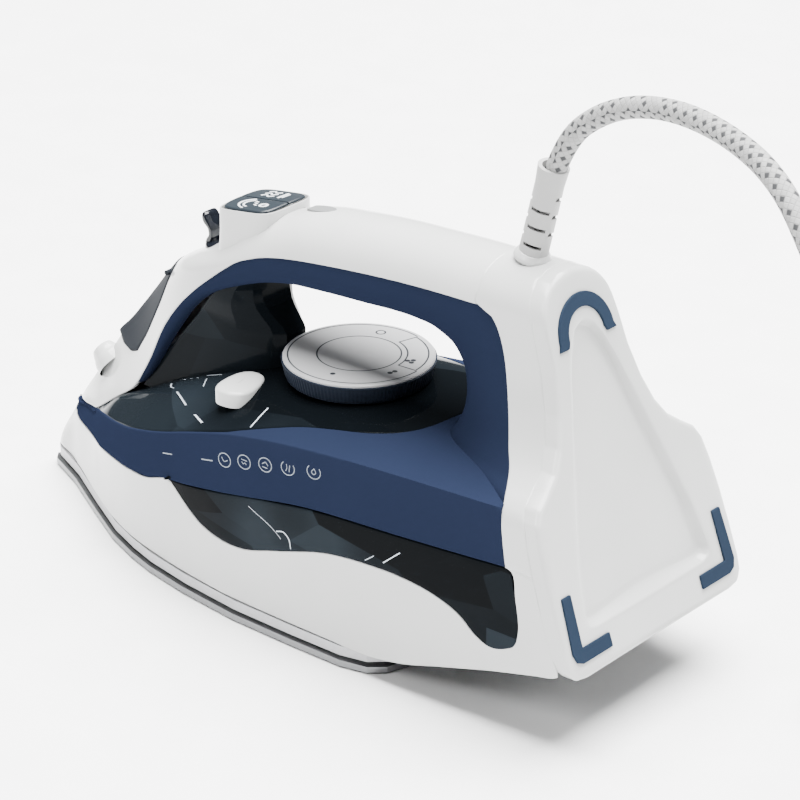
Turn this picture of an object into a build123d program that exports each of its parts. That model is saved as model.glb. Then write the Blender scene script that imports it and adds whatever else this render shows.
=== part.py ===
"""Steam iron with its cord, as separate pieces in one frame.

Millimetres. +X points to the nose, +Y to the side with the self-clean button, +Z up.
The origin is under the middle of the iron on the face that the soleplate stands on.
"""

from build123d import *
from math import cos, pi, radians, sin, tan
import os

os.makedirs("parts", exist_ok=True)

# ---------------------------------------------------------------- driving dimensions
WALL = 2.6  # moulded shells
GAP = 0.35  # between pieces that move past each other
RUN_FIT = 0.06  # radial clearance of a shaft in its hole
PLATE_THICK = 3.2
CASTING_FLANGE = (4.6, 8.4)  # the casting's visible rim, from z to z
SKIRT_BOTTOM = 8.6
HEEL_X = -151.5  # rear end of the heel, where its face starts
HEEL_Z = 30.4
HEEL_LEAN = 0.35  # mm forward for each mm up
HEEL_PLATE = 6.0
HEEL_RISE_X = -63.5  # the underside starts to climb here
HEEL_RISE = 0.246
HANDLE_HALF = 19.5
DIAL_X = -12.2
DIAL_RADIUS = 28.7
DIAL_TOP_Z = 95.4
SHAFT_RADIUS = 3.0
LEVER_X = 55.0
VALVE_RADIUS = 1.6
BLOCK_FRONT_X = 47.2
BLOCK_REAR_X = 20.0
BLOCK_HALF = 13.5
BUTTON_TRAVEL = 3.0
PUMP_X = 36.0
PUMP_Y = 6.2
PISTON_RADIUS = 3.0
CLEAN_X = 19.5
CLEAN_Y = 30.5
CLEAN_TURN = -80.0  # degrees from +X to the long axis of the button
GUARD_BASE = Vector(-90.5, 0, 150.5)
GUARD_LEAN = 13.6  # degrees backwards
GUARD_LENGTH = 41.0
GUARD_SOCKET_RADIUS = 8.2
CORD_DIAMETER = 7.6
CORD_BORE = 4.2

# Stations of the lower body from nose to heel: x, then half-width and height at the
# bottom edge, the belly, the crease under the deck and the edge of the raised roof.
STATIONS = [
    (150.0, (1.6, 6.0), (1.5, 11.5), (1.3, 13.5), (0.9, 15.0)),
    (139.0, (5.8, 6.0), (4.4, 17.0), (3.0, 24.0), (1.5, 28.0)),
    (127.5, (11.6, 6.0), (10.0, 24.0), (7.4, 35.0), (2.2, 44.0)),
    (112.0, (20.8, 6.0), (18.0, 27.0), (15.0, 40.0), (11.5, 42.5)),
    (98.5, (28.0, 6.0), (26.6, 30.0), (24.0, 45.0), (14.0, 50.5)),
    (83.5, (35.2, 6.0), (34.4, 33.0), (32.0, 49.0), (15.5, 58.0)),
    (68.5, (40.8, 6.0), (40.6, 36.0), (38.6, 53.6), (16.5, 65.5)),
    (48.5, (45.6, 6.0), (46.2, 38.0), (44.0, 60.3), (18.0, 73.5)),
    (28.5, (49.0, 6.0), (49.8, 40.0), (46.8, 67.5), (20.0, 80.0)),
    (4.5, (51.6, 6.0), (51.9, 40.0), (48.2, 74.4), (23.0, 85.4)),
    (-28.0, (52.2, 6.0), (52.2, 42.0), (48.5, 79.4), (25.5, 86.4)),
    (-72.5, (52.2, 6.0), (52.0, 45.0), (48.4, 83.0), (25.5, 86.6)),
    (-118.0, (51.6, 6.0), (51.2, 50.0), (47.6, 85.2), (25.5, 88.0)),
    (-153.0, (50.8, 6.0), (50.6, 50.0), (46.6, 86.2), (25.5, 89.0)),
]
# Sections of the nose and front post: z, ridge x, shoulder half-width, post half-width.
POST_SECTIONS = [
    (28.0, 139.0, 5.0, 11.0),
    (34.5, 135.3, 5.6, 12.0),
    (48.0, 125.5, 6.4, 14.2),
    (72.0, 108.5, 8.6, 18.0),
    (91.0, 92.5, 9.4, 19.0),
    (110.5, 75.5, 9.8, HANDLE_HALF),
    (117.5, 64.9, 10.0, HANDLE_HALF),
]
# Side outlines (x, z).
HANDLE_SIDE = [
    (139.0, 28.0), (135.3, 34.5), (125.5, 48.0), (108.5, 72.0), (92.5, 91.0), (75.5, 110.5),
    (64.9, 117.0), (47.2, 126.0), (30.0, 138.0), (10.0, 147.2), (-3.5, 149.2), (-31.5, 152.0),
    (-64.5, 153.6), (-100.0, 154.2), (-107.9, 152.6), (-153.0, 24.5), (-130.0, 60.0), (-108.0, 84.0),
    (-60.0, 80.0), (0.0, 78.0), (60.0, 60.0), (90.0, 45.0), (112.0, 36.0), (125.0, 28.0),
]
OPENING_SIDE = [
    (11.0, 121.0), (-5.0, 123.0), (-25.0, 124.2), (-46.0, 125.6), (-62.5, 123.2), (-70.0, 119.0),
    (-73.6, 113.0), (-74.5, 106.0), (-73.0, 98.0), (-69.0, 90.5), (-66.0, 70.0), (17.6, 70.0),
    (17.6, 86.0), (21.5, 92.0), (24.0, 100.0), (24.5, 110.0), (20.5, 118.0),
]
SHELL_EDGE = [  # lower edge of the white handle shell, front to rear
    (113.5, 40.0), (102.5, 48.0), (90.0, 57.0), (78.5, 72.5), (68.5, 90.5), (57.5, 104.0),
    (42.5, 117.0), (30.5, 126.0), (18.5, 131.0), (4.5, 134.0), (-29.5, 138.0), (-66.5, 140.3),
    (-82.0, 140.6), (-89.0, 138.6), (-93.5, 132.0), (-97.5, 120.0), (-101.5, 108.0), (-106.0, 98.0),
    (-112.0, 91.0), (-116.3, 85.6), (-121.5, 65.0),
]
GRIP_EDGE = [  # lower edge of the navy grip liner on the front post
    (83.0, 62.0), (80.0, 66.0), (66.0, 89.5), (54.0, 106.0), (42.0, 113.2), (31.0, 117.4), (20.5, 118.5),
]
BAND_BOTTOM = [  # lower edge of the navy band
    (139.0, 28.0), (107.5, 30.3), (88.0, 34.2), (70.0, 37.2), (55.0, 40.0), (47.5, 44.0), (28.5, 46.9),
    (1.5, 52.2), (-33.5, 58.4), (-75.5, 61.5), (-121.5, 65.0),
]
WINDOW_BOTTOM = [  # lower edge of the tank window, rear to front
    (-124.0, 64.0), (-128.0, 44.0), (-126.5, 36.0), (-116.5, 31.5), (-102.5, 40.0), (-91.5, 44.0),
    (-76.5, 46.0), (-60.5, 45.7), (-42.5, 43.7), (-16.5, 36.0), (1.5, 31.0), (10.5, 31.0),
    (23.5, 34.0), (32.5, 40.0), (40.5, 45.3),
]
DECK_PLAN = [  # the clear tank cover seen from above, +Y half, front to rear
    (112.0, 12.6), (98.5, 23.6), (83.5, 31.6), (68.5, 38.2), (48.5, 43.6), (28.5, 46.4), (4.5, 47.8),
    (-36.5, 33.0), (-49.5, 29.0), (-54.5, 24.0), (-60.0, 10.0),
]
FOOT_PLAN = [  # air beside the grip and in front of the column's flared foot
    (80.0, HANDLE_HALF), (-62.0, HANDLE_HALF), (-80.0, 24.0), (-100.0, 33.0), (-112.0, 42.0),
    (-119.0, 50.0), (-119.0, 75.0), (80.0, 75.0),
]
SOLE_SIDE = [  # soleplate outline, +Y half, nose to rear
    (151.5, 0.0), (148.6, 3.6), (129.5, 11.8), (106.5, 24.4), (83.5, 36.4), (67.5, 42.4), (54.5, 46.2),
    (32.5, 50.2), (4.5, 53.2), (-25.5, 53.6), (-48.5, 53.3), (-59.5, 50.8), (-65.0, 45.8), (-68.0, 37.0),
    (-68.6, 24.0),
]

# ---------------------------------------------------------------- shared shapes


def mirrored(half):
    """Close a +Y half outline with its mirror image, nose point first."""
    return half + [(x, -y) for x, y in reversed(half) if y > 0]


def heel_x(z, inset=0.0):
    """x of the heel face at height z, moved inwards by inset."""
    return HEEL_X + HEEL_LEAN * (z - HEEL_Z) + inset


def side_prism(outline, half=70.0):
    """Prism of a side outline (x, z), from -half to +half across the iron."""
    with BuildPart(mode=Mode.PRIVATE) as prism:
        with BuildSketch(Plane.XZ):
            with BuildLine():
                Polyline(*outline, close=True)
            make_face()
        extrude(amount=half, both=True)
    return prism.part


def plan_prism(outline, bottom, top):
    """Prism of a plan outline (x, y) from one height to another."""
    with BuildPart(mode=Mode.PRIVATE) as prism:
        with BuildSketch(Plane.XY.offset(bottom)):
            with BuildLine():
                Polyline(*outline, close=True)
            make_face()
        extrude(amount=top - bottom)
    return prism.part


def sole_outline(inset):
    """Soleplate outline drawn in by inset, as a closed list of points."""
    nose_scale = (SOLE_SIDE[0][0] - 1.4 * inset) / SOLE_SIDE[0][0]
    rear_scale = (SOLE_SIDE[-1][0] + inset) / SOLE_SIDE[-1][0]
    points = [(x * (nose_scale if x > 0 else rear_scale), y - inset) for x, y in SOLE_SIDE]
    return mirrored([(points[0][0], 0.0)] + [p for p in points[1:] if p[1] > 0.4])


def heel_cut(inset):
    """Everything behind the heel face and under the climbing underside."""
    foot = SKIRT_BOTTOM - 1.2 + inset
    top, bottom = 190.0, -40.0
    outline = [
        (heel_x(top, inset), top), (heel_x(bottom, inset), bottom), (HEEL_X - 60, bottom), (HEEL_X - 60, top),
    ]
    slope_end = HEEL_X - 20
    under = [
        (HEEL_RISE_X, foot), (slope_end, foot + HEEL_RISE * (HEEL_RISE_X - slope_end)),
        (slope_end, bottom), (HEEL_RISE_X, bottom),
    ]
    return side_prism(outline), side_prism(under)


def lower_body(inset):
    """The lower body as one solid, its faces drawn in by inset."""
    with BuildPart(mode=Mode.PRIVATE) as body:
        for x, foot, belly, crease, roof in STATIONS[1:] if inset else STATIONS:
            x_in = x - 2.0 * inset if x > 100 else x
            points = []
            for (half, z), drop in zip((foot, belly, crease, roof), (1.0, 0.0, 0.4, 1.0)):
                points.append((max(half - inset, 0.25), z - drop * inset))
            with BuildSketch(Plane.YZ.offset(x_in)):
                with BuildLine():
                    Polyline(*points, *[(-y, z) for y, z in reversed(points)], close=True)
                make_face()
        loft(ruled=True)
        for cutter in heel_cut(inset):
            add(cutter, mode=Mode.SUBTRACT)
    return body.part


def front_post(inset, rear=10.0):
    """Nose and front post: level sections with a rounded V in front."""
    with BuildPart(mode=Mode.PRIVATE) as post:
        for z, ridge, shoulder, half in POST_SECTIONS:
            tip = ridge - 1.3 * inset
            points = [
                (tip, max(1.6 - inset, 0.3)), (tip - 6.0, shoulder * 0.62 - 0.7 * inset),
                (tip - 12.0, shoulder - 0.9 * inset), (tip - 24.0, half - inset), (rear, half - inset),
            ]
            with BuildSketch(Plane.XY.offset(z)):
                with BuildLine():
                    Polyline(*points, *[(x, -y) for x, y in reversed(points)], close=True)
                make_face()
        loft(ruled=True)
    return post.part


def handle_section(inset):
    """Front view of the handle and its rear foot, as a half outline (y, z)."""
    half = HANDLE_HALF - inset
    return [
        (0.0, 70.0), (48.6 - inset, 70.0), (48.2 - inset, 82.0), (46.0 - inset, 85.4), (39.0 - inset, 90.0),
        (32.5 - inset, 95.0), (27.5 - inset, 102.0), (23.4 - inset, 112.0), (20.4 - inset, 125.0),
        (half, 136.0), (half - 1.2, 144.0 - inset), (half - 5.5, 150.2 - inset), (half - 12.0, 153.6 - inset),
        (0.0, 154.6 - inset),
    ]


def handle_loop(inset, rear_inset):
    """Top bar and rear column as one solid without the opening cut out of it."""
    with BuildPart(mode=Mode.PRIVATE) as loop:
        with BuildSketch(Plane.YZ.offset(-160)):
            with BuildLine():
                half = handle_section(inset)
                Polyline(*half, *[(-y, z) for y, z in reversed(half[1:-1])], close=True)
            make_face()
        extrude(amount=225)
        outline = [(x, z - inset if z > 120 and x < 60 else z) for x, z in HANDLE_SIDE]
        add(side_prism(outline), mode=Mode.INTERSECT)
        for cutter in heel_cut(rear_inset)[:1]:
            add(cutter, mode=Mode.SUBTRACT)
        # In front of the column the loop is only as wide as the grip.
        for side in (1, -1):
            add(plan_prism([(x, side * y) for x, y in FOOT_PLAN], 60, 170), mode=Mode.SUBTRACT)
    return loop.part


heel_plane = Plane(
    origin=(HEEL_X, 0, HEEL_Z), x_dir=(0, -1, 0), z_dir=(-1, 0, HEEL_LEAN)
)
guard_axis = Vector(-sin(radians(GUARD_LEAN)), 0, cos(radians(GUARD_LEAN)))
guard_plane = Plane(origin=GUARD_BASE, x_dir=(0, 1, 0), z_dir=guard_axis)
clean_plane = Plane(
    origin=(CLEAN_X, CLEAN_Y, 0),
    x_dir=(cos(radians(CLEAN_TURN)), sin(radians(CLEAN_TURN)), 0),
    z_dir=(0, 0, 1),
)

body_outer = lower_body(0.0)
body_inner = lower_body(WALL)
post_outer = front_post(0.0)
post_inner = front_post(WALL)
loop_outer = handle_loop(0.0, 0.0)
loop_inner = handle_loop(WALL, HEEL_PLATE)
opening = side_prism(OPENING_SIDE)

far_up = 200.0
shell_zone = side_prism(
    [(152.0, 40.0), (139.0, 34.4), *SHELL_EDGE, (-160.0, 65.0), (-160.0, far_up), (152.0, far_up)]
)
above_band = side_prism([(155.0, 28.0), *BAND_BOTTOM, (-160.0, 65.0), (-160.0, far_up), (155.0, far_up)])
grip_front = side_prism([*GRIP_EDGE, (0.0, 118.5), (0.0, 30.0), (83.0, 30.0)])
deck_zone = plan_prism(mirrored(DECK_PLAN), 38.0, 200.0)
window_zone = side_prism([*WINDOW_BOTTOM, (40.5, 62.0), (-124.0, 70.0)])
heel_zone = side_prism([
    (heel_x(200, HEEL_PLATE), 200), (heel_x(-20, HEEL_PLATE), -20), (HEEL_X - 80, -20), (HEEL_X - 80, 200),
])

# ---------------------------------------------------------------- soleplate and heater

vent_places = []
for row_inset, first, last, count in ((9.0, 20.0, 128.0, 9), (20.0, 10.0, 96.0, 6)):
    for index in range(count):
        vent_x = first + (last - first) * index / (count - 1)
        limit = [y0 + (y1 - y0) * (vent_x - x0) / (x1 - x0)
                 for (x0, y0), (x1, y1) in zip(SOLE_SIDE, SOLE_SIDE[1:]) if x1 <= vent_x <= x0][0]
        vent_places += [(vent_x, limit - row_inset), (vent_x, row_inset - limit)]

with BuildPart() as soleplate:
    with BuildSketch():
        with BuildLine():
            Polyline(*sole_outline(0.0), close=True)
        make_face()
    extrude(amount=PLATE_THICK)
    chamfer(soleplate.faces().sort_by(Axis.Z)[0].edges(), 0.9)
    with Locations(*[(x, y, PLATE_THICK) for x, y in vent_places if abs(y) > 2.0]):
        Hole(radius=1.4)

ELEMENT_Z = 15.2
ELEMENT_RADIUS = 3.2
with BuildPart() as heating_element:
    with BuildLine() as element_route:
        FilletPolyline((-70, 24, ELEMENT_Z), (10, 24, ELEMENT_Z), (88, 9, ELEMENT_Z), (88, -9, ELEMENT_Z),
                       (10, -24, ELEMENT_Z), (-70, -24, ELEMENT_Z), radius=8.0)
    with BuildSketch(Plane(origin=(-70, 24, ELEMENT_Z), z_dir=(1, 0, 0))):
        Circle(ELEMENT_RADIUS)
    sweep()

with BuildPart() as steam_chamber:
    with BuildSketch(Plane.XY.offset(PLATE_THICK)):
        with BuildLine():
            Polyline(*sole_outline(3.6), close=True)
        make_face()
    extrude(amount=CASTING_FLANGE[0] - PLATE_THICK)
    with BuildSketch(Plane.XY.offset(CASTING_FLANGE[0])):
        with BuildLine():
            Polyline(*sole_outline(1.0), close=True)
        make_face()
    extrude(amount=CASTING_FLANGE[1] - CASTING_FLANGE[0])
    with BuildSketch(Plane.XY.offset(CASTING_FLANGE[1])):
        with BuildLine():
            Polyline(*sole_outline(13.0), close=True)
        make_face()
    extrude(amount=19.0 - CASTING_FLANGE[1])
    with BuildSketch(Plane.XY.offset(10.0)):
        with BuildLine():
            Polyline(
                (72, 6), (52, 12), (5, 15), (-40, 15), (-40, -15), (5, -15), (52, -12), (72, -6), close=True)
        make_face()
    extrude(amount=9.0, mode=Mode.SUBTRACT)
    add(heating_element.part, mode=Mode.SUBTRACT)

CHAMBER_SCREWS = [(104.0, 0.0), (-50.0, 34.0), (-50.0, -34.0)]
with BuildPart() as chamber_cover:
    with BuildSketch(Plane.XY.offset(19.0)):
        with BuildLine():
            Polyline(*sole_outline(15.0), close=True)
        make_face()
        with Locations((LEVER_X, 0)):
            Circle(2.6, mode=Mode.SUBTRACT)
    extrude(amount=1.2)

with BuildPart() as valve_gasket:
    with BuildSketch(Plane.XY.offset(20.2)):
        with Locations((LEVER_X, 0)):
            Circle(6.0)
            Circle(VALVE_RADIUS + RUN_FIT, mode=Mode.SUBTRACT)
    extrude(amount=7.8)

with BuildPart() as heat_shield:
    with BuildSketch(Plane.XY.offset(23.4)):
        with BuildLine():
            Polyline(*sole_outline(10.5), close=True)
        make_face()
        with Locations((LEVER_X, 0)):
            Circle(6.0, mode=Mode.SUBTRACT)
        with Locations((DIAL_X, 0)):
            Circle(15.0, mode=Mode.SUBTRACT)
        with Locations((-44.0, 16.0)):
            Rectangle(26, 9, mode=Mode.SUBTRACT)
        with Locations(*CHAMBER_SCREWS):
            Circle(2.05, mode=Mode.SUBTRACT)
    extrude(amount=1.8)

with BuildPart() as chamber_screws:
    for x, y in CHAMBER_SCREWS:
        with BuildSketch(Plane.XY.offset(20.2)):
            with Locations((x, y)):
                Circle(2.0)
        extrude(amount=5.0)
        with BuildSketch(Plane.XY.offset(25.2)):
            with Locations((x, y)):
                Circle(3.6)
                Rectangle(4.4, 0.9, mode=Mode.SUBTRACT)
        extrude(amount=1.6)

with BuildPart() as thermostat:
    with BuildSketch(Plane.XY.offset(20.2)):
        with Locations((DIAL_X, 0)):
            Rectangle(20, 12)
    extrude(amount=4.0)
    with BuildSketch(Plane.XY.offset(24.2)):
        with Locations((DIAL_X, 0)):
            Circle(8.0)
    extrude(amount=8.0)
    with Locations((DIAL_X, 0, 32.2)):
        Hole(radius=SHAFT_RADIUS + RUN_FIT, depth=7.0)

with BuildPart() as thermal_fuse:
    with BuildSketch(Plane.YZ.offset(-55.0)):
        with Locations((16.0, 22.4)):
            Circle(2.0)
    extrude(amount=20.0)

# ---------------------------------------------------------------- body shells and tank

with BuildPart() as base_skirt:
    add(body_outer)
    add(body_inner, mode=Mode.SUBTRACT)
    for zone in (above_band, window_zone, heel_zone):
        add(zone, mode=Mode.SUBTRACT)
    with Locations((0, 0, SKIRT_BOTTOM - 20)):
        Box(400, 200, 40, mode=Mode.SUBTRACT, align=(Align.CENTER, Align.CENTER, Align.CENTER))

TANK_FLOOR = 28.0
TANK_WALL = 2.2
tank_length = [(-114.0, -60.0), (122.0, -60.0), (122.0, 60.0), (-114.0, 60.0)]
with BuildPart() as water_tank:
    add(body_inner)
    add(plan_prism(tank_length, TANK_FLOOR, 200.0), mode=Mode.INTERSECT)
    add(lower_body(WALL + TANK_WALL) & plan_prism(
        [(-112.0, -60.0), (118.0, -60.0), (118.0, 60.0), (-112.0, 60.0)], TANK_FLOOR + TANK_WALL, 200.0),
        mode=Mode.SUBTRACT)
    # The sides end under the band, where the clear cover starts.
    add(above_band, mode=Mode.SUBTRACT)
    add(body_outer & window_zone - above_band - body_inner - heel_zone)
    with BuildSketch(Plane.XY.offset(TANK_FLOOR)):
        with Locations((DIAL_X, 0)):
            Circle(12.0)
    extrude(amount=8.4)
    with BuildSketch(Plane.XY.offset(TANK_FLOOR)):
        with Locations((DIAL_X, 0)):
            Circle(9.6)
    extrude(amount=6.2, mode=Mode.SUBTRACT)
    with Locations((DIAL_X, 0, TANK_FLOOR + 8.4)):
        Hole(radius=SHAFT_RADIUS + 0.5, depth=8.4)
    with Locations((LEVER_X, 0, TANK_FLOOR + 10)):
        Hole(radius=VALVE_RADIUS + RUN_FIT, depth=12)

with BuildPart() as side_band:
    add(body_outer)
    add(body_inner, mode=Mode.SUBTRACT)
    add(above_band, mode=Mode.INTERSECT)
    add(side_prism([(155.0, 40.0), (139.0, 34.4), *SHELL_EDGE[:1], *[(x, far_up) for x in (113.5, 155.0)]]),
        mode=Mode.SUBTRACT)
    for zone in (deck_zone, heel_zone):
        add(zone, mode=Mode.SUBTRACT)
    add(side_prism([(-116.3, 85.6), (-121.5, 65.0), (-170.0, 65.0), (-170.0, 120.0), (-116.3, 120.0)]),
        mode=Mode.SUBTRACT)

with BuildPart() as tank_cover:
    add(body_outer)
    add(body_inner, mode=Mode.SUBTRACT)
    for zone in (above_band, deck_zone):
        add(zone, mode=Mode.INTERSECT)
    add(shell_zone, mode=Mode.SUBTRACT)
    # The neck rises inside the front post to the filler.
    add((post_outer & side_prism([*GRIP_EDGE, (0.0, 118.5), (0.0, 60.0), (90.0, 57.0)]))
        - shell_zone - body_outer - opening)
    add(front_post(4.6, rear=30.0) & side_prism(
        [(84.0, 62.0), (64.0, 89.0), (52.0, 105.0), (40.0, 111.0), (29.0, 112.0), (29.0, 60.0)]),
        mode=Mode.SUBTRACT)
    with Locations((DIAL_X, 0, 90)):
        Hole(radius=SHAFT_RADIUS + 0.5, depth=20)
    with Locations((LEVER_X, 0, 120)):
        Hole(radius=VALVE_RADIUS + RUN_FIT, depth=25)

# ---------------------------------------------------------------- handle

post_white = post_outer & shell_zone
loop_white = (loop_outer & shell_zone) - opening
channel = side_prism([
    (26.0, 130.0), (4.5, 135.0), (-29.5, 139.0), (-82.0, 141.5), (-93.0, 138.0), (-99.0, 120.0),
    (-104.0, 106.0), (-116.0, 92.0), (-124.0, 66.0), (-142.0, 60.0), (-106.0, 150.0), (-60.0, 150.0),
    (-28.0, 148.6), (-2.0, 145.8), (10.0, 143.0), (26.0, 136.0),
])
shell_bay = plan_prism([(24.0, -11.6), (46.0, -11.6), (46.0, 11.6), (24.0, 11.6)], 100.0, 142.0)
LID_HALF = 9.0
filler_mouth = side_prism([(104.0, 70.0), (92.0, 86.0), (80.0, 99.0), (72.0, 90.0), (88.0, 66.0)], 6.5)

with BuildPart() as handle_shell:
    add(post_white)
    add(post_inner & side_prism([
        (136.0, 36.0), (120.0, 50.0), (104.0, 72.0), (88.0, 91.0), (70.0, 106.0), (60.0, 100.0), (80.0, 68.0),
        (92.0, 54.0), (112.0, 38.0)]), mode=Mode.SUBTRACT)
    add(loop_white)
    add(loop_inner & channel, mode=Mode.SUBTRACT)
    for zone in (heel_zone, shell_bay):
        add(zone, mode=Mode.SUBTRACT)
    # White shoulder between the band's rear edge and the heel cover.
    add((body_outer - body_inner) & above_band & shell_zone - heel_zone - loop_outer - post_outer)
    add(filler_mouth, mode=Mode.SUBTRACT)
    with Locations((LEVER_X, 0, 128)):
        Hole(radius=VALVE_RADIUS + 0.4, depth=40)
    with BuildSketch(Plane.XY.offset(117.0)):
        with Locations((LEVER_X, 0)):
            Circle(8.4)
    extrude(amount=30.0, mode=Mode.SUBTRACT)
    with BuildSketch(guard_plane.offset(-16.0)):
        Circle(GUARD_SOCKET_RADIUS)
    extrude(amount=30.0, mode=Mode.SUBTRACT)

with BuildPart() as handle_grip:
    add(loop_outer)
    for zone in (shell_zone, opening, heel_zone):
        add(zone, mode=Mode.SUBTRACT)
    add(side_prism([(40.0, 150.0), (40.0, 60.0), (9.0, 60.0), (-25.0, 86.0), (-60.0, 60.0), (-160.0, 20.0),
                    (-170.0, 20.0), (-170.0, 200.0), (40.0, 200.0)]), mode=Mode.INTERSECT)
    add(post_outer - shell_zone - opening - grip_front - body_outer)
    add(body_outer, mode=Mode.SUBTRACT)
    block_bore = [(26.0, -11.6), (46.0, -11.6), (46.0, 11.6), (26.0, 11.6)]
    add(plan_prism(block_bore, 60.0, 142.0), mode=Mode.SUBTRACT)
    add(tank_cover.part, mode=Mode.SUBTRACT)
    with Locations((LEVER_X, 0, 128)):
        Hole(radius=VALVE_RADIUS + 0.4, depth=40)

# ---------------------------------------------------------------- heel


def largest(piece):
    """Keep only the largest solid of a piece that was cut from the outer shape."""
    keep = piece.part.solids().sort_by(SortBy.VOLUME)[-1]
    piece.part = Part([keep])


for piece in (handle_grip, handle_shell, side_band):
    largest(piece)
with BuildPart() as shell_trim:
    add(handle_shell.part)
    add(side_band.part, mode=Mode.SUBTRACT)
handle_shell.part = Part([shell_trim.part.solids().sort_by(SortBy.VOLUME)[-1]])

PAD_PROUD = 0.8
PAD_SUNK = 1.6
RECESS_DEPTH = 3.0
PAD_BAND = 5.2
PAD_ARCH_RADIUS = 12.2
PAD_ARCH_V = 108.6
PAD_ARCH_END = 106.5
PAD_CORNER_U = 43.6
PAD_CORNER_V = 7.2
RECESS = [(35.5, 14.0), (32.5, 34.0), (23.5, 63.0), (12.0, 98.0), (6.5, 112.0), (0.0, 116.0)]


def pad_slab(kind, low, high):
    """One rubber pad between two depths of the heel face."""
    half = PAD_BAND / 2
    with BuildPart(mode=Mode.PRIVATE) as pad:
        with BuildSketch(heel_plane.offset(low)):
            if kind == "arch":
                with BuildLine():
                    for radius in (PAD_ARCH_RADIUS - half, PAD_ARCH_RADIUS + half):
                        CenterArc((0, PAD_ARCH_V), radius, 0, 180)
                        Line((-radius, PAD_ARCH_V), (-radius - 1.0, PAD_ARCH_END))
                        Line((radius, PAD_ARCH_V), (radius + 1.0, PAD_ARCH_END))
                    for side in (1, -1):
                        Line((side * (PAD_ARCH_RADIUS - half + 1.0), PAD_ARCH_END),
                             (side * (PAD_ARCH_RADIUS + half + 1.0), PAD_ARCH_END))
                make_face()
            else:
                side = 1 if kind == "right" else -1
                outer, inner = PAD_CORNER_U + half, PAD_CORNER_U - half
                with BuildLine():
                    Polyline(
                        (side * inner, 29.0), (side * (outer - 0.6), 29.0), (side * (outer + 0.8), 9.2),
                        (side * (outer - 0.6), 5.8), (side * (outer - 3.4), PAD_CORNER_V - half),
                        (side * 26.5, PAD_CORNER_V - half), (side * 26.5, PAD_CORNER_V + half),
                        (side * (inner + 0.6), PAD_CORNER_V + half), close=True,
                    )
                make_face()
        extrude(amount=high - low)
    return pad.part


with BuildPart() as rear_cover:
    add((body_outer + loop_outer) & heel_zone)
    with BuildSketch(heel_plane):
        with BuildLine():
            Polyline(*RECESS, *[(-u, v) for u, v in reversed(RECESS[:-1])], close=True)
        make_face()
    extrude(amount=-RECESS_DEPTH, mode=Mode.SUBTRACT)
    for kind in ("arch", "left", "right"):
        add(pad_slab(kind, -PAD_SUNK, 5.0), mode=Mode.SUBTRACT)
largest(rear_cover)

pads = {}
for kind in ("arch", "left", "right"):
    with BuildPart() as pad:
        add(pad_slab(kind, -PAD_SUNK, PAD_PROUD))
    pads["heel_pad_" + kind] = pad

# ---------------------------------------------------------------- filler and nozzle

ridge_slope = Vector(POST_SECTIONS[5][1] - POST_SECTIONS[3][1], 0, POST_SECTIONS[5][0] - POST_SECTIONS[3][0])
ridge_up = ridge_slope.normalized()
ridge_out = Vector(ridge_up.Z, 0, -ridge_up.X)
PIN_RADIUS = 1.0
KNUCKLE_RADIUS = 2.1
LID_PIN = Vector(78.1, 0, 107.6) - ridge_out * 2.3
LID_FOOT = Vector(110.2, 0, 69.6)


def lid_side(shrink, depth):
    """Side outline around the lid, from the knuckle down to its foot."""
    top = LID_PIN - ridge_up * shrink
    foot = LID_FOOT + ridge_up * shrink
    corners = [top - ridge_out * depth, top + ridge_out * 9, foot + ridge_out * 9, foot - ridge_out * depth]
    return [(corner.X, corner.Z) for corner in corners]


def cross_bar(centre, radius, half):
    """Round bar along Y."""
    with BuildPart(mode=Mode.PRIVATE) as bar:
        with BuildSketch(Plane(origin=centre, x_dir=(1, 0, 0), z_dir=(0, -1, 0))):
            Circle(radius)
        extrude(amount=half, both=True)
    return bar.part


lid_seat = (post_outer - front_post(2.4)) & side_prism(lid_side(-0.5, 8.0), LID_HALF + GAP)
with BuildPart() as filler_lid:
    add((post_outer - front_post(2.0)) & side_prism(lid_side(0.0, 6.5), LID_HALF))
    add(cross_bar(LID_PIN, KNUCKLE_RADIUS, 6.0))
    add(cross_bar(LID_PIN, PIN_RADIUS + RUN_FIT, 12.0), mode=Mode.SUBTRACT)

with BuildPart() as lid_hinge_pin:
    add(cross_bar(LID_PIN, PIN_RADIUS, 9.6))

NOZZLE_Z = 56.0
nozzle_root = Vector(119.8, 0, NOZZLE_Z)
nozzle_plane = Plane(origin=nozzle_root, x_dir=(0, 1, 0), z_dir=(0.80, 0, 0.60))
with BuildPart() as spray_nozzle:
    with BuildSketch(nozzle_plane.offset(-7.0)):
        Circle(5.6)
    extrude(amount=7.6)
    with BuildSketch(nozzle_plane.offset(0.6)):
        Circle(5.6)
    with BuildSketch(nozzle_plane.offset(4.2)):
        Circle(3.8)
    loft()
    with BuildSketch(nozzle_plane.offset(-7.0)):
        Circle(2.0)
    extrude(amount=12.0, mode=Mode.SUBTRACT)
with BuildPart() as nozzle_tip:
    with BuildSketch(nozzle_plane.offset(-6.0)):
        Circle(2.0)
        Circle(0.5, mode=Mode.SUBTRACT)
    extrude(amount=10.6)

# ---------------------------------------------------------------- steam lever and valve

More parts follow.
